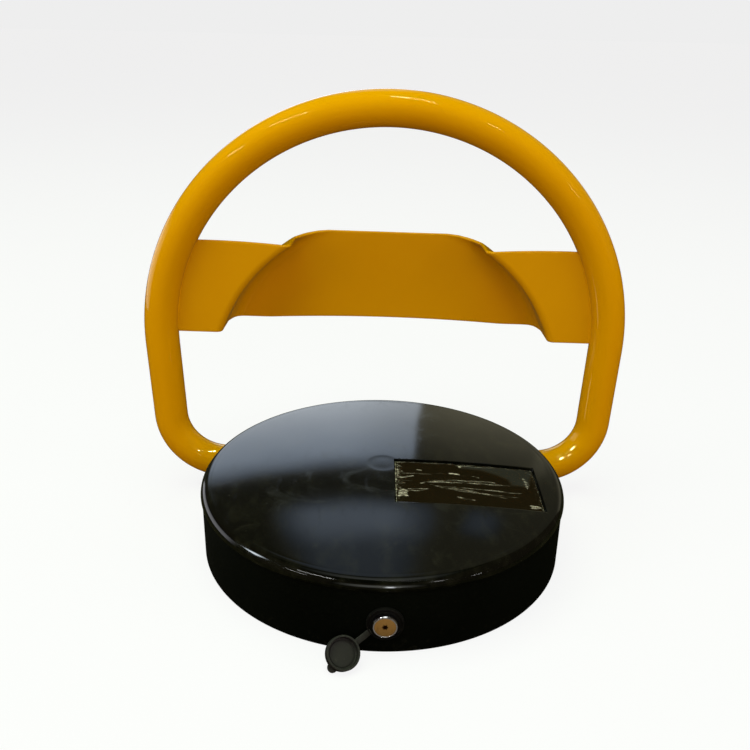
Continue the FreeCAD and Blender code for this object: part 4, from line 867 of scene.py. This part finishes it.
# ---- cover --------------------------------------------------------------------------
def cover_outline(mesh):
    """The cover's section: dimple, dome, faint groove, rounded edge and skirt, then its underside."""
    def height(x, lowered=0.0):
        return dome_z(x, 0, lowered)

    def angle(x):
        return math.degrees(math.asin(x / dome_ball))

    centre_z = dome_top - dome_ball
    pen = Pen(mesh, 0, dome_top - dimple_sink)
    steps = 18
    for step in range(1, steps + 1):
        share = step / steps
        x = dimple_reach * share
        pen.run(x, height(x) - dimple_sink * (0.5 + 0.5 * math.cos(math.pi * share ** 3)))
    round_x = cover_radius - rounding
    slope = math.asin(round_x / (dome_ball - rounding))
    round_z = centre_z + (dome_ball - rounding) * math.cos(slope)
    groove_start = round_x - 2 * groove_half_width
    pen.bend(0, centre_z, angle(groove_start) - angle(dimple_reach), 44)
    steps = 10
    for step in range(1, steps + 1):
        x = groove_start + 2 * groove_half_width * step / steps
        pen.run(x, height(x) - groove_sink * math.sin(math.pi * step / steps) ** 2)
    pen.run(round_x + rounding * math.sin(slope), round_z + rounding * math.cos(slope))
    pen.bend(round_x, round_z, 90 - math.degrees(slope), 18)
    lip_z = wall_height - skirt_drop
    skirt = base_radius + skirt_gap
    ledge = wall_height + gasket_thickness
    inner = dome_edge - cover_thickness
    under = inner - 6
    pen.path((cover_radius, lip_z, 0.4), (skirt, lip_z, 0.3), (skirt, ledge, 0), (inner, ledge, 0.5),
             (inner, height(inner, cover_thickness), 1.5), (under, height(under, cover_thickness), 0))
    pen.bend(0, centre_z - cover_thickness, -angle(under), 30)


def pocket(mesh, grow, sink, near, upper):
    """Sinks a rectangular pocket into one skin of the dome; returns its rim and upright edges."""
    low_x = panel_left - grow
    high_x = panel_left + panel_length + grow
    low_y = panel_back - panel_width - grow
    high_y = panel_back + grow
    skin_depth = 1.2
    around = 16  # how far outside the pocket the skin is divided
    support = 1.4  # from the rim to the lines that keep the skin's curve beside it

    def in_skin(face, margin):
        middle = face.calc_center_median()
        if abs(middle.z - dome_z(middle.x, middle.y, near)) > skin_depth or (face.normal.z > 0) != upper:
            return False
        return (low_x - margin < middle.x < high_x + margin and low_y - margin < middle.y < high_y + margin)

    def at_corner(point):
        return any(abs(point.x - x) < 0.05 and abs(point.y - y) < 0.05
                   for x in (low_x, high_x) for y in (low_y, high_y))

    for place, normal in (((low_x, 0, 0), (1, 0, 0)), ((high_x, 0, 0), (1, 0, 0)),
                          ((0, low_y, 0), (0, 1, 0)), ((0, high_y, 0), (0, 1, 0))):
        for off in (-support, 0.0, support):
            faces = [face for face in mesh.faces if in_skin(face, around)]
            edges = list({edge for face in faces for edge in face.edges})
            corners = list({corner for face in faces for corner in face.verts})
            spot = Vector(place) + Vector(normal) * off
            bmesh.ops.bisect_plane(mesh, geom=faces + edges + corners, plane_co=spot, plane_no=normal,
                                   dist=0.02)
    bmesh.ops.delete(mesh, geom=[face for face in mesh.faces if in_skin(face, 0)], context="FACES")
    rim = [edge for edge in mesh.edges if edge.is_boundary]
    floor_rim = stretched(mesh, rim, (0, 0, -sink))
    bmesh.ops.edgeloop_fill(mesh, edges=floor_rim)
    uprights = [edge for corner in {end for edge in rim for end in edge.verts} for edge in corner.link_edges
                if abs((edge.verts[0].co - edge.verts[1].co).normalized().z) > 0.9 and at_corner(corner.co)]
    return rim + uprights


def domed_cover():
    """The moulded dome with its panel pocket, rear tongues and the latch's boss."""
    mesh = bmesh.new()
    cover_outline(mesh)
    lathe(mesh, 240)
    softened(mesh, pocket(mesh, 0.0, pocket_depth, 0.0, True), 0.45)
    pocket(mesh, pocket_wall, under_pocket_depth, cover_thickness, False)
    low = (tongue_inner, -tongue_half_width, tongue_low)
    outer = tongue_inner + tongue_thickness
    for degrees in tongue_angles:
        turn = Matrix.Rotation(math.radians(degrees), 3, "Z")
        stem = brick(mesh, low, (outer, tongue_half_width, dome_z(outer, tongue_half_width) - 2.0))
        toe = brick(mesh, low, (tongue_toe, tongue_half_width, tongue_low + tongue_thickness))
        bmesh.ops.rotate(mesh, verts=stem + toe, cent=(0, 0, 0), matrix=turn)
    boss_top = dome_z(boss_right, boss_front) - 1.8
    brick(mesh, (boss_left, boss_front, boss_low), (boss_right, boss_back, boss_top), 0.5)
    faced(mesh)
    shown(mesh, "domed_cover", 30, "base", "black_cover", "top_cover")


def over_area(mesh, low, size, columns, rows):
    """A grid's points with their places over an area, seen from above."""
    grid = bmesh.ops.create_grid(mesh, x_segments=columns, y_segments=rows, size=0.5)["verts"]
    return [(corner, low.x + size.x * (corner.co.x + 0.5), low.y + size.y * (corner.co.y + 0.5))
            for corner in grid]


def sheet_area():
    """The panel sheet's lowest corner and its size, seen from above; it lies loose in the pocket."""
    low = Vector((panel_left + sheet_gap, panel_back - panel_width + sheet_gap))
    high = Vector((panel_left + panel_length - sheet_right_gap, panel_back - sheet_back_gap))
    return low, high - low


def panel_sheet():
    """The brown sheet in the cover's pocket, curved like the dome."""
    mesh = bmesh.new()
    top = pocket_depth - panel_thickness
    for corner, x, y in over_area(mesh, *sheet_area(), 48, 28):
        corner.co = (x, y, dome_z(x, y, top))
    made = bmesh.ops.extrude_face_region(mesh, geom=mesh.faces[:])["geom"]
    bmesh.ops.translate(mesh, verts=corners_of(made), vec=(0, 0, -panel_thickness))
    faced(mesh)
    softened(mesh, sharp_edges(mesh, 50), 0.3)
    shown(mesh, "panel_sheet", 40, "base", "dark_panel", "inset_panel")


# creases of the film as (half width, strength, points), seen from above
film_creases = [
    (1.1, 0.62, ((40.5, -27), (52.5, -26), (64.5, -24.5), (80, -24), (96, -23), (100.5, -24))),
    (1.5, 0.66, ((37.5, -30), (44, -29), (56, -28.5), (70, -28), (86, -27), (99.5, -27), (112.5, -27))),
    (1.0, 0.60, ((41, -33), (47.5, -35.5), (65, -36), (88.5, -37), (98.5, -37), (116, -38.5), (122, -37))),
    (1.6, 0.58, ((47.5, -36), (55.5, -38.5), (63, -38.5), (72.5, -40), (82.5, -41))),
    (1.1, 0.62, ((55.5, -38.5), (68.5, -41.5), (78.5, -42.5), (97.5, -45), (103, -46.5), (107.5, -48))),
    (0.9, 0.52, ((86, -42.5), (93.5, -43.5), (102.5, -44), (110, -45), (119, -44.5))),
    (1.3, 0.58, ((64, -51), (69.5, -53), (75, -53.5), (80, -54.5))),
    (1.1, 0.60, ((12, -15.5), (21, -16), (29, -15.5), (36, -16), (44, -16))),
    (0.8, 0.40, ((46.5, -14), (56, -13.5))),
    (1.3, 1.00, ((59, -13), (63, -13), (69, -14.5))),
    (0.8, 0.50, ((69, -15.5), (76.5, -16))),
    (1.0, 0.60, ((80, -15), (87, -17.5))),
    (1.4, 0.85, ((12, -23.5), (18, -23), (23, -21.5), (27.5, -20))),
    (1.0, 0.62, ((30, -9), (35.5, -10))),
    (0.9, 0.50, ((12.5, -28), (25.5, -28.5))),
    (1.0, 0.60, ((12, -33), (20.5, -32.5))),
    (1.2, 0.70, ((32.5, -32.5), (37.5, -30))),
    (1.0, 0.62, ((21.5, -42), (29, -41.5), (41, -40.5))),
    (0.9, 0.55, ((21, -44), (30, -44.5), (38.5, -42))),
    (1.2, 0.80, ((13, 3.5), (21.5, 4.5))),
    (1.2, 0.60, ((13, 0), (16.5, -4))),
    (1.0, 0.70, ((16, -10), (19, -16.5))),
    (1.1, 0.70, ((12.5, -37), (15.5, -40.5))),
    (1.2, 0.80, ((13, -7.5), (14, -14.5), (13, -22))),
    (2.0, 1.00, ((14, -46.5), (17.5, -44), (21.5, -45.5))),
    (2.0, 1.00, ((13.5, -50), (17, -47.5), (21, -49))),
    (2.0, 1.00, ((13, -53.5), (17, -50.5), (21.5, -53))),
    (2.0, 0.95, ((126.5, -55.5), (129, -56.5), (132.5, -56.5), (136, -57))),
    (1.5, 0.80, ((126.5, -59), (134, -58))),
    (1.6, 0.75, ((126.5, -11), (128, -18), (128.5, -28.5))),
    (1.3, 0.50, ((128.5, -11.5), (131, -24))),
    (1.2, 0.50, ((131, 0.5), (136.5, -4.5))),
    (0.9, 0.40, ((20.5, 4), (35, 4), (50.5, 3.5), (66.5, 2.5))),
    (1.0, 0.55, ((66.5, 2), (72.5, 1.5), (85, 0.5), (93, 1.5))),
    (1.0, 0.50, ((93, 1.5), (109.5, 2.5), (122, 1.5))),
    (2.0, 0.90, ((69.5, 1), (71.5, -0.5))),
]
film_lifted = ((70.5, 4), (72, -2), (89.5, -3), (103, -9), (113, -16), (115, -25), (129, -25), (137, -1),
               (137, 4))


def nearest_on(spot, start, end):
    """The share of a line at which it comes nearest to a point, and the distance there."""
    start, end = Vector(start), Vector(end)
    along = min(max((spot - start).dot(end - start) / (end - start).length_squared, 0), 1)
    return along, (spot - start.lerp(end, along)).length


def uneven(x, y, fine_x, fine_y, layer):
    """Smooth noise about 0 over the film; larger fine_x and fine_y bring its lumps closer together."""
    return noise.noise(Vector((x * fine_x, y * fine_y, layer)))


def crease_at(x, y):
    """How strongly the film is creased at a point, from 0 to 1."""
    best = 0.0
    spot = Vector((x, y + 0.5 * uneven(x, y, 0.22, 0.5, 3)))
    for width, strength, points in film_creases:
        count = len(points) - 1
        for index, (start, end) in enumerate(zip(points, points[1:])):
            along, distance = nearest_on(spot, start, end)
            place = (index + along) / count
            taper = min(1.0, 0.35 + 4 * min(place, 1 - place))
            off = distance / (width * taper * 1.25)
            if off < 1.6:
                best = max(best, strength * math.exp(-off * off * 1.6))
    return best


def lifted_at(x, y):
    """1 inside the clouded, lifted area of the film and 0 outside, with a soft border."""
    inside = False
    nearest = 1e9
    for (one_x, one_y), (two_x, two_y) in zip(film_lifted, film_lifted[1:] + film_lifted[:1]):
        nearest = min(nearest, nearest_on(Vector((x, y)), (one_x, one_y), (two_x, two_y))[1])
        if (one_y > y) != (two_y > y) and x < (two_x - one_x) * (y - one_y) / (two_y - one_y) + one_x:
            inside = not inside
    depth = nearest if inside else -nearest
    return min(max(depth / 4 + 0.5, 0.0), 1.0)


def wrinkled_film():
    """Protective film on the panel, creased where it was rubbed on and lifted at one corner; its crease
    attribute also carries a painted highlight along the border.
    """
    mesh = bmesh.new()
    crease_and_highlight_layer = mesh.verts.layers.float.new("crease")
    cloud_layer = mesh.verts.layers.float.new("cloud")
    low, size = sheet_area()
    low = low + Vector((film_inset, film_inset))
    size = size - Vector((2 * film_inset, 2 * film_inset))
    lowered = pocket_depth - panel_thickness - film_sink
    for corner, x, y in over_area(mesh, low, size, 168, 112):
        crease = crease_at(x, y)
        lifted = lifted_at(x, y)
        to_left = x - low.x
        to_right = low.x + size.x - x
        border = min(to_left, to_right, y - low.y, low.y + size.y - y)
        # painted highlight: a light line along the film's border, strongest at the left, added to the crease
        # attribute
        edge_highlight = max(0.0, 1 - border / 0.9)
        crumpled = max(0.0, 1 - to_left / 11) + 0.8 * max(0.0, 1 - to_right / 7)
        flecks = uneven(x, y, 0.55, 0.8, 7) + 0.5 * uneven(x, y, 1.3, 1.7, 2)
        crease = max(crease, min(0.8, max(0.0, flecks - 0.06) * 3.0) * min(1.0, crumpled))
        waver = uneven(x, y, 0.2, 0.2, 5)
        edge = 1.0 if border == to_left else 0.5 if border == to_right else 0.8
        corner[crease_and_highlight_layer] = max(crease, edge_highlight * (edge + 0.3 * waver))
        corner[cloud_layer] = lifted
        swell = uneven(x, y, 0.05, 0.16, 0) + 1
        rise = 0.45 * crease + lifted * (0.25 + 0.2 * swell) + 0.05 * swell
        corner.co = (x, y, dome_z(x, y, lowered) + rise * min(1.0, border / 1.5))
    faced(mesh)
    piece = to_object(mesh, "wrinkled_film", film_finish, 60)
    thickened(piece, film_thickness, 1.0)
    settled(piece, 60)
    dressed(piece, "base", "dark_panel")


# ---- side wall ----------------------------------------------------------------------
def outwards(mesh, at_y):
    """Stands a shape drawn about Z on the lock's axis, its +Z pointing out of the wall."""
    place = Matrix.Translation((lock_x, at_y, lock_z)) @ Matrix.Rotation(math.pi / 2, 4, "X")
    bmesh.ops.transform(mesh, matrix=place, verts=mesh.verts[:])


def wall_ring():
    """The upright wall, open for the tubes and the lock."""
    middle = wall_height / 2
    mesh = turned(256, (wall_inner, middle), (wall_inner, 0, 0.5), (base_radius, 0, 0.6),
                  (base_radius, wall_height, 0.6), (wall_inner, wall_height, 0.5),
                  (wall_inner, middle + 0.1, 0))
    piece = to_object(mesh, "wall_ring", finishes["black_wall"], 35)
    cutters = []
    reach = 80
    for start in (-100 - reach, 100):
        slot = bmesh.new()
        pen = Pen(slot, -slot_radius, -5)
        pen.run(-slot_radius, pivot_z)
        pen.bend(0, pivot_z, 180, 24)
        pen.run(slot_radius, -5)
        pen.close()
        slab(slot, (0, reach, 0))
        turn = Matrix.Rotation(-math.pi / 2, 4, "Z")
        bmesh.ops.transform(slot, matrix=Matrix.Translation((start, pivot_y, 0)) @ turn, verts=slot.verts[:])
        cutters.append(slot)
    hole = bmesh.new()
    radius = lock_body_radius + lock_hole_gap
    bmesh.ops.create_cone(hole, cap_ends=True, segments=48, radius1=radius, radius2=radius, depth=30)
    outwards(hole, -base_radius)
    cutters.append(hole)
    cut_by(piece, cutters)
    dressed(piece, "base", "black_wall", "side_wall")


# ---- key lock -----------------------------------------------------------------------
def lock_head():
    """Chrome head with a rolled rim, and the barrel behind it."""
    bore = lock_plug_radius + 0.05
    head = lock_head_radius
    neck = lock_body_radius - 0.1
    tail = -lock_body_length
    top = lock_head_depth
    mesh = turned(96, (bore, 0), (bore, top - 0.15, 0.2), (bore + 0.5, top - 0.15, 0.12),
                  (bore + 0.6, top, 0.15), (bore + 0.9, top, 0.35), (head, top - 1.05, 0.5), (head, 0, 0.1),
                  (neck, -0.4, 0.1), (neck, tail, 0.5), (bore, tail, 0.2), (bore, -0.2, 0))
    outwards(mesh, lock_seat)
    shown(mesh, "lock_head", 40, "base", "lock_chrome", "lock_barrel")


def collar_ring():
    """Rubber collar under the head, with two rounded ribs; its back follows the wall."""
    bore = lock_body_radius + 0.15
    edge = collar_radius
    mesh = turned(96, (bore, -collar_back), (bore, -0.02, 0), (10.5, -0.02, 0.15), (10.65, 0.4, 0.15),
                  (11.1, 0.4, 0.15), (11.3, -0.02, 0.15), (13.15, -0.02, 0.15), (13.3, 0.85, 0.3),
                  (13.8, 1.0, 0.35), (edge - 0.1, 0.8, 0.35), (edge, 0.0, 0.3), (edge, -collar_back, 0))
    outwards(mesh, lock_seat)
    for corner in mesh.verts:
        if corner.co.y > lock_seat + 1.4:
            corner.co.y = -math.sqrt(base_radius ** 2 - corner.co.x ** 2) - 0.03
    shown(mesh, "collar_ring", 50, "base", "black_rubber", "dust_collar", collar_rubber_painted_shade)


def cap_opened():
    """Carries the cap from its closed place, drawn about Z, to its open place."""
    closed = (Matrix.Translation((lock_x, lock_seat - cap_clearance, lock_z)) @
              Matrix.Rotation(math.pi / 2, 4, "X"))
    turn = (Matrix.Translation(hinge_point) @ Matrix.Rotation(cap_open_angle, 4, flip_axis) @
            Matrix.Translation(-hinge_point))
    return turn @ closed


def rubber_cap():
    """Moulded cup with a rolled lip and a pull tab."""
    inner = cap_radius - cap_wall
    top = cap_depth + cap_top
    mesh = turned(96, (0, cap_depth - 0.45), (9.5, cap_depth - 0.4, 0.35), (9.9, cap_depth, 0.25),
                  (inner, cap_depth, 0.6), (inner, 0.7, 0.2), (inner - 0.15, 0.0, 0.35),
                  (cap_radius, 0.0, 0.5), (cap_radius, top, 1.1), (9.6, top, 0.4), (9.2, top - 0.5, 0.4),
                  (0, top - 0.5, 0))
    tab = bmesh.new()
    half = tab_width / 2
    pen = Pen(tab, cap_radius - tab_root, -half)
    pen.run(tab_length - half, -half)
    pen.bend(tab_length - half, 0, -180, 16)
    pen.run(cap_radius - tab_root, half)
    pen.close()
    slab(tab, (0, cap_top, 0))
    faced(tab)
    softened(tab, sharp_edges(tab, 60), 0.45)
    lie_down = Matrix.Rotation(math.pi / 2, 4, "X")
    aim = Matrix.Rotation(strap_direction - math.pi + tab_turn, 4, "Z")
    lift = Matrix.Translation((0, 0, top))
    bmesh.ops.transform(tab, matrix=lift @ aim @ lie_down, verts=tab.verts[:])
    spare = bpy.data.meshes.new("tab")
    tab.to_mesh(spare)
    tab.free()
    mesh.from_mesh(spare)
    bpy.data.meshes.remove(spare)
    bmesh.ops.transform(mesh, matrix=cap_opened(), verts=mesh.verts[:])
    faced(mesh)
    shown(mesh, "rubber_cap", 40, "dust_cap", "black_rubber", "dust_cap", cap_rubber_painted_light)


def cap_strap():
    """The strap from collar to cap, drawn with the cap open and bent at the middle."""
    def fixed(distance, height):
        return Vector((lock_x, lock_seat - height, lock_z)) + strap_line * distance

    def moving(distance, height):
        point = Vector((math.cos(strap_direction) * distance, math.sin(strap_direction) * distance,
                        height - cap_clearance))
        return cap_opened() @ point

    rise = lock_head_depth - strap_inset
    points = [fixed(12.6, 0.1), fixed(14.6, 0.5), fixed(17.0, 1.6), fixed(18.8, rise - 0.1),
              moving(18.4, rise), moving(16.2, rise), moving(13.8, rise + 0.2), moving(11.9, rise + 0.4)]
    count = 36
    mesh = bmesh.new()
    brick(mesh, (0, -strap_width / 2, -strap_thickness / 2), (count, strap_width / 2, strap_thickness / 2))
    length_edges = [edge for edge in mesh.edges if abs(edge.verts[0].co.x - edge.verts[1].co.x) > 1]
    softened(mesh, length_edges, 0.35, 2)
    for step in range(1, count):
        bmesh.ops.bisect_plane(mesh, geom=mesh.verts[:] + mesh.edges[:] + mesh.faces[:],
                               plane_co=(step, 0, 0), plane_no=(1, 0, 0))

    def spot(share):
        place = share * (len(points) - 1)
        index = min(int(place), len(points) - 2)
        part = place - index
        before = points[max(index - 1, 0)]
        one, two = points[index], points[index + 1]
        after = points[min(index + 2, len(points) - 1)]
        return 0.5 * (2 * one + (two - before) * part + (2 * before - 5 * one + 4 * two - after) * part ** 2
                      + (3 * one - before - 3 * two + after) * part ** 3)

    for corner in mesh.verts:
        share = min(max(corner.co.x / count, 0.0), 1.0)
        here = spot(share)
        along = (spot(min(share + 0.01, 1)) - spot(max(share - 0.01, 0))).normalized()
        side = (hinge_axis * (1 - share) + flip_axis * share).normalized()
        side = (side - along * side.dot(along)).normalized()
        up = along.cross(side)
        corner.co = here + side * corner.co.y + up * corner.co.z
    faced(mesh)
    piece = to_object(mesh, "cap_strap", cap_rubber_painted_light, 50)
    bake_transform(piece)


loop_pipe()
recess_plate()
weld_beads()
domed_cover()
panel_sheet()
wrinkled_film()
wall_ring()
lock_head()
refined_copy("lock_plug", "lock_key_face", 0.18, "lock_core", "lock_brass")
collar_ring()
rubber_cap()
cap_strap()
refined_copy("tube_grommets", "tube_edging", 0.35, "base", "black_rubber")

# every other node keeps its CAD shape and gets its slot's finish
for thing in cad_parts.values():
    for place in thing.material_slots:
        place.material = finishes[place.material.name.split(".")[0]]

# ---- floor, light and camera --------------------------------------------------------
floor_glow = tint(238, 238, 238)


def stage_floor():
    """A pale floor that glows a little for the viewer and is darker for what it lights and for mirrors."""
    mesh = bmesh.new()
    bmesh.ops.create_grid(mesh, x_segments=1, y_segments=1, size=30000)
    finish = Finish("floor_pale")
    mottle = finish.grain(400, detail=3)
    colour = finish.mix(mottle, tint(94, 92, 104), tint(97, 95, 107))
    seen = finish.add("ShaderNodeBsdfPrincipled", inputs={
        "Base Color": colour, "Roughness": 0.9, "Specular IOR Level": 0.0,
        "Emission Color": floor_glow, "Emission Strength": 1.0})
    bounce = finish.add("ShaderNodeBsdfDiffuse", inputs={"Color": tint(148, 121, 88)})
    mirrored = finish.add("ShaderNodeBsdfDiffuse", inputs={"Color": tint(58, 54, 44)})
    soft = finish.add("ShaderNodeLightPath", output="Is Diffuse Ray")
    unseen = finish.add("ShaderNodeMixShader", inputs={0: soft, 1: mirrored, 2: bounce})
    direct = finish.add("ShaderNodeLightPath", output="Is Camera Ray")
    finish.show(finish.add("ShaderNodeMixShader", inputs={0: direct, 1: unseen, 2: seen}))
    floor = to_object(mesh, "stage_floor", finish.material)
    floor.location = (0, 0, -0.0005)


def mirrors(label, *pieces):
    """The only pieces that a card or a lamp lights and shows itself in."""
    group = bpy.data.collections.new("mirrored_by_" + label)
    for name in pieces:
        group.objects.link(bpy.data.objects[name])
    return group


def glow_card(low, high, material, group=None):
    """A flat card between two corners, in millimetres, that only reflections see."""
    mesh = bmesh.new()
    across, up = [index for index in range(3) if high[index] > low[index]]
    corners = []
    for right, top in ((0, 0), (1, 0), (1, 1), (0, 1)):
        corner = Vector(low)
        corner[across] += right * (high[across] - low[across])
        corner[up] += top * (high[up] - low[up])
        corners.append(mesh.verts.new(corner))
    bmesh.ops.contextual_create(mesh, geom=corners)
    card = to_object(mesh, material.name, material)
    card.visible_camera = False
    card.visible_diffuse = False
    card.visible_shadow = False
    if group:
        card.light_linking.receiver_collection = group


def hall_windows():
    """The far wall of the studio: soft bright areas that the dome mirrors."""
    finish = Finish("studio_far_wall")
    x = finish.axis("X")
    z = finish.axis("Z")
    main = (finish.band(x, -1750, -1150, 262, 290) * finish.band(z, 350, 600, 1500, 1960)
            * finish.fade(x, 290, -300, 0.74, 1.0))
    beside = finish.fade(x, 262, 290) * finish.fade(z, 350, 600) * finish.fade(z, 1900, 700) * 0.37
    stripe = finish.band(x, 1080, 1160, 1200, 1300) * finish.band(z, 1000, 1200, 1500, 1700) * 0.25
    upper = (finish.band(x, -1000, -450, 50, 650) * finish.fade(z, 2230, 2640)
             * (finish.fade(z, 3350, 2750) * 0.72 + finish.fade(z, 5600, 4200) * 0.36))
    patch = finish.band(x, 700, 900, 950, 1150) * finish.band(z, 2350, 2600, 2700, 3000)
    cool = finish.mix(finish.fade(z, 600, 1800), tint(210, 219, 228), tint(184, 200, 220))
    lit = finish.fade(main + upper + patch, 0.0, 0.25)
    colour = finish.mix(lit, tint(216, 210, 178), cool)
    power = main * 2.75 + beside + stripe + upper * 1.45 + patch * 0.35 + finish.fade(x, 150, 700, 0.09, 0.21)
    glow_card((-4000, 3000, 0), (4000, 3000, 5500), finish.glow(colour, power),
              mirrors("hall", "domed_cover", "loop_pipe", "lock_head"))


def side_window():
    """A low window at the left that everything glossy mirrors."""
    finish = Finish("studio_side_window")
    power = finish.fade(finish.axis("Z"), 520, 300) * finish.fade(finish.axis("Y"), -150, 100) * 1.6
    glow_card((-1100, -300, 0), (-1100, 1200, 600), finish.glow(tint(240, 240, 245), power))


def side_lights():
    """Soft lights beside and behind the viewer that only the cover or only the lock mirrors."""
    cover = mirrors("cover", "domed_cover")
    lock = mirrors("lock", "lock_head", "lock_key_face")
    for name, group, low, high, power, colour in (
            ("left_light", cover, (-2900, -750, 800), (-2900, 100, 2900), 20.0, tint(222, 232, 240)),
            ("front_light", cover, (70, -3200, 400), (430, -3200, 1500), 22.0, tint(236, 240, 242)),
            ("front_wall", cover, (-1800, -3300, 300), (1600, -3300, 2400), 1.5, tint(236, 238, 226)),
            ("ceiling", cover, (-2400, -3300, 5500), (2400, 3000, 5500), 0.75, tint(226, 232, 226)),
            ("lock_light", lock, (-400, -1100, 1100), (400, -250, 1100), 2.3, tint(244, 246, 240)),
            ("low_light", lock, (-160, -420, 2), (160, -152, 2), 0.55, tint(255, 238, 216))):
        finish = Finish("studio_" + name)
        soft = 0.9 + 0.2 * finish.grain(900, detail=1)
        for letter, start, end in zip("XYZ", low, high):
            border = (end - start) * 0.4
            if border:
                soft = soft * finish.band(finish.axis(letter), start, start + border, end - border, end)
        glow_card(low, high, finish.glow(colour, power * soft), group)


def lamp(name, place, size, power, colour=(1, 1, 1), aim=(0, 0, 0.2), turn=None, mirrored=False):
    """A rectangular lamp. A mirrored one is seen in reflections alone, the others light dull surfaces."""
    light = bpy.data.lights.new(name, "AREA")
    light.shape = "RECTANGLE"
    light.size, light.size_y = size
    light.energy = power
    light.color = colour
    thing = bpy.data.objects.new(name, light)
    bpy.context.scene.collection.objects.link(thing)
    thing.rotation_euler = turn or (Vector(aim) - Vector(place)).to_track_quat("-Z", "Y").to_euler()
    thing.location = place
    thing.visible_camera = False
    thing.visible_glossy = mirrored
    thing.visible_diffuse = not mirrored
    return thing


def strip_lamp(name, start, end, width, brightness, colour=(1, 1, 1), turn=None):
    """A bright narrow tube between two points; it faces down unless it is turned another way."""
    start, end = Vector(start), Vector(end)
    length = (end - start).length
    angle = math.atan2(end.y - start.y, end.x - start.x)
    return lamp(name, (start + end) / 2, (length, width), brightness * math.pi * length * width, colour,
                turn=turn or (0, 0, angle), mirrored=True)


def elbow_glints():
    """Slim lamps close to the elbows, each aimed at one of them; only the loop's tube mirrors them."""
    group = mirrors("elbows", "loop_pipe")
    brightness = 20
    left = Vector((-0.176, 0.074, 0.044))
    right = Vector((0.184, 0.071, 0.048))
    for name, start, end, target, width in (
            ("glint_left_long", (0.029, -0.142, 0.449), (-0.066, 0.070, 0.540), left, 0.009),
            ("glint_left_dot", (0.050, -0.300, 0.281), (0.062, -0.292, 0.281), left, 0.008),
            ("glint_left_small", (0.044, -0.352, 0.174), (0.051, -0.350, 0.174), left, 0.006),
            ("glint_right_long", (0.019, -0.329, 0.298), (-0.042, -0.299, 0.296), right, 0.009),
            ("glint_right_dot", (-0.038, -0.345, 0.207), (-0.050, -0.345, 0.195), right, 0.008),
            ("glint_right_side", (-0.180, -0.198, 0.254), (-0.201, -0.213, 0.173), right, 0.008)):
        start, end = Vector(start), Vector(end)
        back = ((start + end) / 2 - target).normalized()
        across = back.cross((end - start).normalized()).normalized()
        turn = Matrix((across.cross(back), across, back)).transposed().to_euler()
        glint = strip_lamp(name, start, end, width, brightness, (1, 0.98, 0.9), turn)
        glint.data.spread = math.radians(30)
        glint.light_linking.receiver_collection = group


def camera():
    """Looks from the front and a little above, leaning slightly to one side."""
    azimuth, elevation, roll = (math.radians(value) for value in (-0.30, 23.0, 1.2))
    distance = 0.7256
    target = Vector((-0.0087, 0, 0.1618))
    back = Vector((math.sin(azimuth) * math.cos(elevation), -math.cos(azimuth) * math.cos(elevation),
                   math.sin(elevation)))
    right = (-back).cross(Vector((0, 0, 1))).normalized()
    up = right.cross(-back)
    leaned_right = right * math.cos(roll) + up * math.sin(roll)
    leaned_up = up * math.cos(roll) - right * math.sin(roll)
    lens = bpy.data.cameras.new("view")
    lens.sensor_width = 36.0
    lens.lens = 39.917
    lens.clip_start = 0.02
    lens.clip_end = 60.0
    thing = bpy.data.objects.new("view", lens)
    bpy.context.scene.collection.objects.link(thing)
    turn = Matrix((leaned_right, leaned_up, back)).transposed().to_4x4()
    thing.matrix_world = Matrix.Translation(target + back * distance) @ turn
    bpy.context.scene.camera = thing


def studio():
    """Background, lamps and cards."""
    scene = bpy.context.scene
    scene.view_settings.view_transform = "Standard"
    scene.world = bpy.data.worlds.new("studio")
    sky = Nodes(scene.world)
    seen = sky.add("ShaderNodeBackground", inputs={"Color": floor_glow, "Strength": 1.0})
    ambient = sky.add("ShaderNodeBackground", inputs={"Color": (1.0, 0.78, 0.52, 1), "Strength": 0.06})
    direct = sky.add("ShaderNodeLightPath", output="Is Camera Ray")
    blend = sky.add("ShaderNodeMixShader", inputs={0: direct, 1: ambient, 2: seen})
    sky.add("ShaderNodeOutputWorld", inputs={"Surface": blend}, output=None)
    lamp("overhead", (-0.5, -0.3, 2.6), (2.6, 2.6), 77, (0.75, 1.0, 0.54), aim=(0, 0, 0.1))
    lamp("front_fill", (0.4, -2.6, 1.3), (2.4, 1.6), 26, (1, 0.86, 0.78))
    lamp("left_fill", (-2.4, -1.0, 1.1), (1.6, 1.6), 24, (1, 1.0, 0.9))
    lamp("right_fill", (2.4, -0.9, 1.0), (1.6, 1.6), 22, (1, 1.0, 0.9))
    strip_lamp("strip_middle", (0.034, -0.42, 3.0), (0.84, -1.18, 3.0), 0.045, 60)
    strip_lamp("strip_left", (-2.10, -1.18, 3.0), (-1.36, -2.04, 3.0), 0.05, 50)
    strip_lamp("strip_far_left", (-3.69, -2.26, 3.0), (-3.34, -3.36, 3.0), 0.08, 34)
    strip_lamp("strip_right", (1.94, -2.95, 3.0), (2.19, -2.76, 3.0), 0.08, 46)
    strip_lamp("strip_far_right", (6.1, -4.7, 3.0), (7.3, -4.6, 3.0), 0.16, 34)
    elbow_glints()
    hall_windows()
    side_window()
    side_lights()


# the dome mirrors the studio without the loop in front of it
for name in ("loop_pipe", "recess_plate", "weld_beads"):
    bpy.data.objects[name].visible_glossy = False

stage_floor()
studio()
camera()
